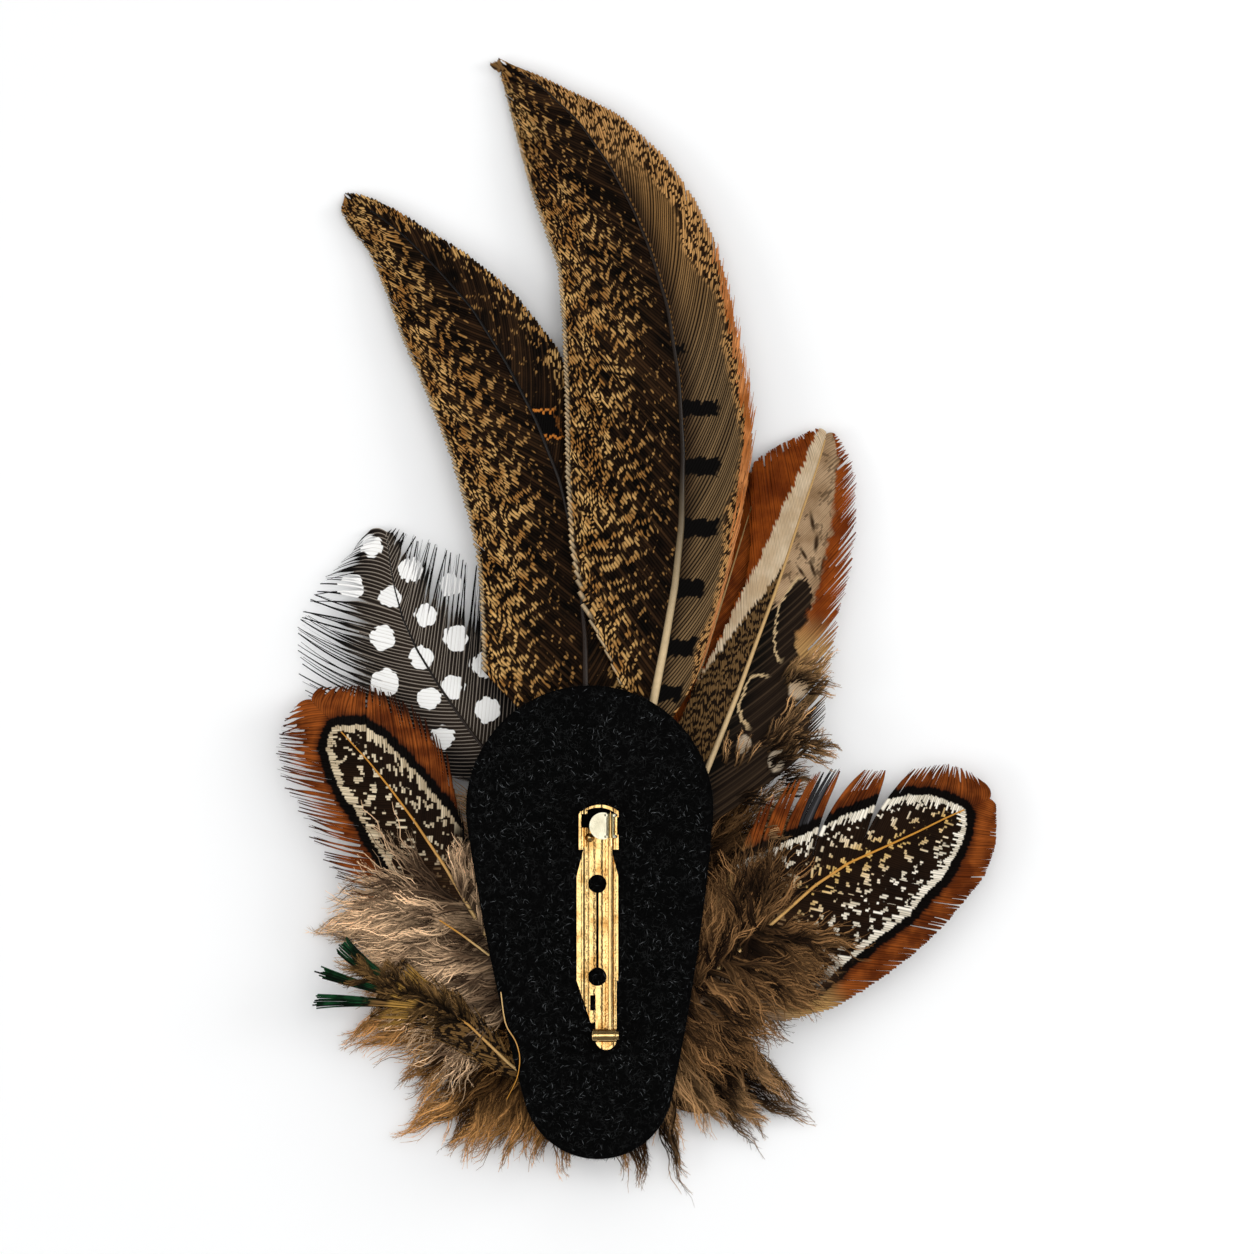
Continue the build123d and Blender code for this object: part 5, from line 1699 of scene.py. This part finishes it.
def gold_material(name, colour, deep, roughness, pitted, rolled=0.0, creases=()):
    """Polished plating, deeper and browner in patches of painted shade, finely pitted and marked by rolling,
    with creases along it.

    pitted, rolled: depths in metres. creases: rows of place across it, half width and height, in millimetres.
    """
    material, nodes, shader = new_material(name, roughness, Metallic=1.0)
    place = nodes.place()
    # Painted shade: noise patches where the plating turns to its deeper colour.
    wear = nodes.noise(place, 0.5, 2.0, 0.5)
    grain = nodes.noise(place, 3.2, 2.0, 0.5)
    nodes.feed(shader.inputs["Base Color"], nodes.mix(nodes.ramp(wear, 0.38, 0.72), colour, deep))
    nodes.feed(shader.inputs["Roughness"], grain * 0.1 + (roughness - 0.05))
    height = nodes.ramp(grain, 0.35, 0.65) * (pitted / MM)
    across, lengthways, _ = nodes.parts(place)
    drawn_out = nodes.join(across * 0.8, lengthways * 0.1)
    streaks = nodes.noise(drawn_out, 1.0, 0.5)
    height = streaks * (rolled / MM) + height
    for middle, wide, deep_in in creases:
        step = nodes.ramp(abs(across - middle), wide, 0.0)
        height = step * deep_in + height
    nodes.bump(shader, height, MM, 1.0)
    return material


def floor_material():
    """Plain pale sweep."""
    material, nodes, shader = new_material("Pale floor", 0.9)
    shader.inputs["Base Color"].default_value = (0.95, 0.95, 0.95, 1.0)
    return material


def make_floor():
    """Pale floor that the plume lies on."""
    bpy.ops.mesh.primitive_plane_add(size=4.0, location=(0, 0, FLOOR))
    floor = bpy.context.object
    floor.name = "floor"
    floor.data.materials.append(floor_material())


def make_camera():
    """Camera straight over the plume's back, as in the photo."""
    data = bpy.data.cameras.new("camera")
    data.lens = LENS
    data.sensor_width = SENSOR
    camera = bpy.data.objects.new("camera", data)
    height = VIEW_SIDE / 2 / (SENSOR / 2 / LENS) + SCALE_LEVEL
    camera.location = (*VIEW_CENTRE, height)
    data.clip_start = 0.01
    data.clip_end = 10.0
    bpy.context.scene.collection.objects.link(camera)
    bpy.context.scene.camera = camera


def make_light(name, place, target, size, power, shiny=True):
    """A soft square light aimed at a point, seen in shiny things or not."""
    data = bpy.data.lights.new(name, "AREA")
    data.size = size
    data.energy = power
    light = bpy.data.objects.new(name, data)
    light.location = place
    light.visible_camera = False
    light.visible_glossy = shiny
    aim = np.array(target) - np.array(place)
    flat = math.hypot(aim[0], aim[1])
    light.rotation_euler = (math.atan2(flat, -aim[2]), 0, math.atan2(aim[1], aim[0]) - math.pi / 2)
    bpy.context.scene.collection.objects.link(light)


# Strength of the studio's even fill, and how dark its far walls look in shiny things
SOFT_FILL = 0.31
DARK_STUDIO = 0.15


def make_lights():
    """Soft studio light: a wide light and a small one overhead, one at each side, and an even fill.

    The wide one isn't seen in shiny things, so that the gold and the glossy barbs keep their dark parts. The
    small one is for the gold.
    """
    world = bpy.data.worlds.new("studio")
    bpy.context.scene.world = world
    world.use_nodes = True
    background = world.node_tree.nodes["Background"]
    background.inputs[0].default_value = (0.98, 0.99, 1.0, 1.0)
    studio = Nodes(world.node_tree)
    shiny = studio.add("LightPath", {}, "Is Glossy Ray")
    studio.feed(background.inputs[1], shiny * (DARK_STUDIO - SOFT_FILL) + SOFT_FILL)
    middle = (0, 0.03, -0.01)
    make_light("over light", (0.08, 0.14, 0.60), middle, 0.95, 2.45, shiny=False)
    make_light("gold light", (0.08, 0.04, 0.60), middle, 0.34, 0.72)
    make_light("right light", (0.55, 0.15, 0.30), middle, 0.25, 1.2)
    make_light("left light", (-0.50, -0.10, 0.35), middle, 0.30, 0.9)
    bpy.context.scene.view_settings.view_transform = "Standard"


def dress_metal():
    """Gold finish for the bar, rivet and needle, and a paler one for the lock."""
    # Each finish's second colour is the deeper one laid in patches of painted shade.
    bright, painted_shade_colour = (0.86, 0.58, 0.24, 1.0), (0.52, 0.28, 0.08, 1.0)
    bar = gold_material("Pressed gold", bright, painted_shade_colour, 0.16, 0.012 * MM, 0.015 * MM, BAR_CREASES)
    bright, painted_shade_colour = (0.86, 0.59, 0.25, 1.0), (0.70, 0.45, 0.18, 1.0)
    gold = gold_material("Polished gold", bright, painted_shade_colour, 0.14, 0.002 * MM, 0.02 * MM)
    bright, painted_shade_colour = (0.62, 0.58, 0.44, 1.0), (0.50, 0.46, 0.33, 1.0)
    pale = gold_material("Pale gold", bright, painted_shade_colour, 0.24, 0.002 * MM)
    finishes = {"bar_plate": bar, "hinge_rivet": gold, "pin_needle": gold, "catch_lock": pale}
    for node, material in finishes.items():
        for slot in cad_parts[node].material_slots:
            slot.material = material


def build():
    make_camera()
    make_lights()
    make_floor()
    dress_metal()
    pale_quill = quill_material("Pale quill", rgb(206, 180, 138), rgb(190, 150, 92))
    dark_quill = quill_material("Dark quill", rgb(206, 180, 138), rgb(30, 20, 12), (0.10, 0.42))
    black_quill = quill_material("Black quill", rgb(40, 28, 20), rgb(14, 11, 9))
    gold_quill = quill_material("Golden quill", rgb(220, 184, 124), rgb(200, 138, 50))
    core = core_shade_material()
    tones = {
        "grey": down_material("Grey-brown down", rgb(92, 70, 52), rgb(188, 156, 122)),
        "golden": down_material("Golden-brown down", rgb(54, 33, 14), rgb(158, 114, 66)),
        "dark": down_material("Dark brown down", rgb(36, 22, 11), rgb(106, 76, 46)),
        "brown": down_material("Brown down", rgb(36, 23, 12), rgb(140, 106, 70)),
        "olive": down_material("Olive-brown down", rgb(28, 19, 10), rgb(100, 74, 42)),
    }
    tall = tail_material("Barred tail barbs", TALL_BARS, True, 1.8)
    left = tail_material("Mottled tail barbs", LEFT_BARS, False, 2.1)
    creams = (rgb(190, 168, 134), rgb(222, 204, 172))
    gold, sooty = creams[1], None
    chestnut_left = chestnut_material("Chestnut barbs left", 0.75, 0.85, creams, (0.44, 0.50), gold, sooty)
    creams = (rgb(226, 214, 190), rgb(244, 236, 220))
    gold, sooty = rgb(212, 172, 98), (20.6, 23.0)
    chestnut_right = chestnut_material("Chestnut barbs right", 0.8, 0.2, creams, (0.30, 0.36), gold, sooty)
    rufous = rufous_material("Rufous barbs", rgb(108, 46, 8), rgb(158, 78, 22))
    fringe = rufous_material("Tan fringe", rgb(158, 88, 36), rgb(202, 132, 76))
    feathers = (
        ("tail_feather_tall", "tail_brown", tall, dark_quill, fringe),
        ("tail_feather_left", "tail_brown", left, black_quill),
        ("buff_feather_right", "buff", buff_material(), pale_quill),
        ("chestnut_feather_left", "chestnut", chestnut_left, gold_quill),
        ("spotted_feather", "spotted_black", spotted_material(), black_quill),
        ("rufous_feather", "rufous", rufous, pale_quill),
        ("chestnut_feather_right", "chestnut", chestnut_right, gold_quill),
        ("green_feather", "green_black", green_material(), gold_quill),
    )
    for number, (name, slot, *materials) in enumerate(feathers):
        if name in FLUFF:
            materials.append(tones[FLUFF[name]["tone"]])
        make_feather(name, materials, number)
    for number, (name, facts) in enumerate(DOWN_CLUMPS.items()):
        facts = dict(facts)
        materials = [tones[facts.pop("tone")], core]
        make_down(name, materials, number, **facts)
    fibres = [
        fibre_material("Dark felt fibre", rgb(5, 5, 5), rgb(28, 29, 29)),
        fibre_material("Pale felt fibre", rgb(44, 46, 47), rgb(84, 86, 88)),
    ]
    make_felt(felt_material(), fibres)


build()
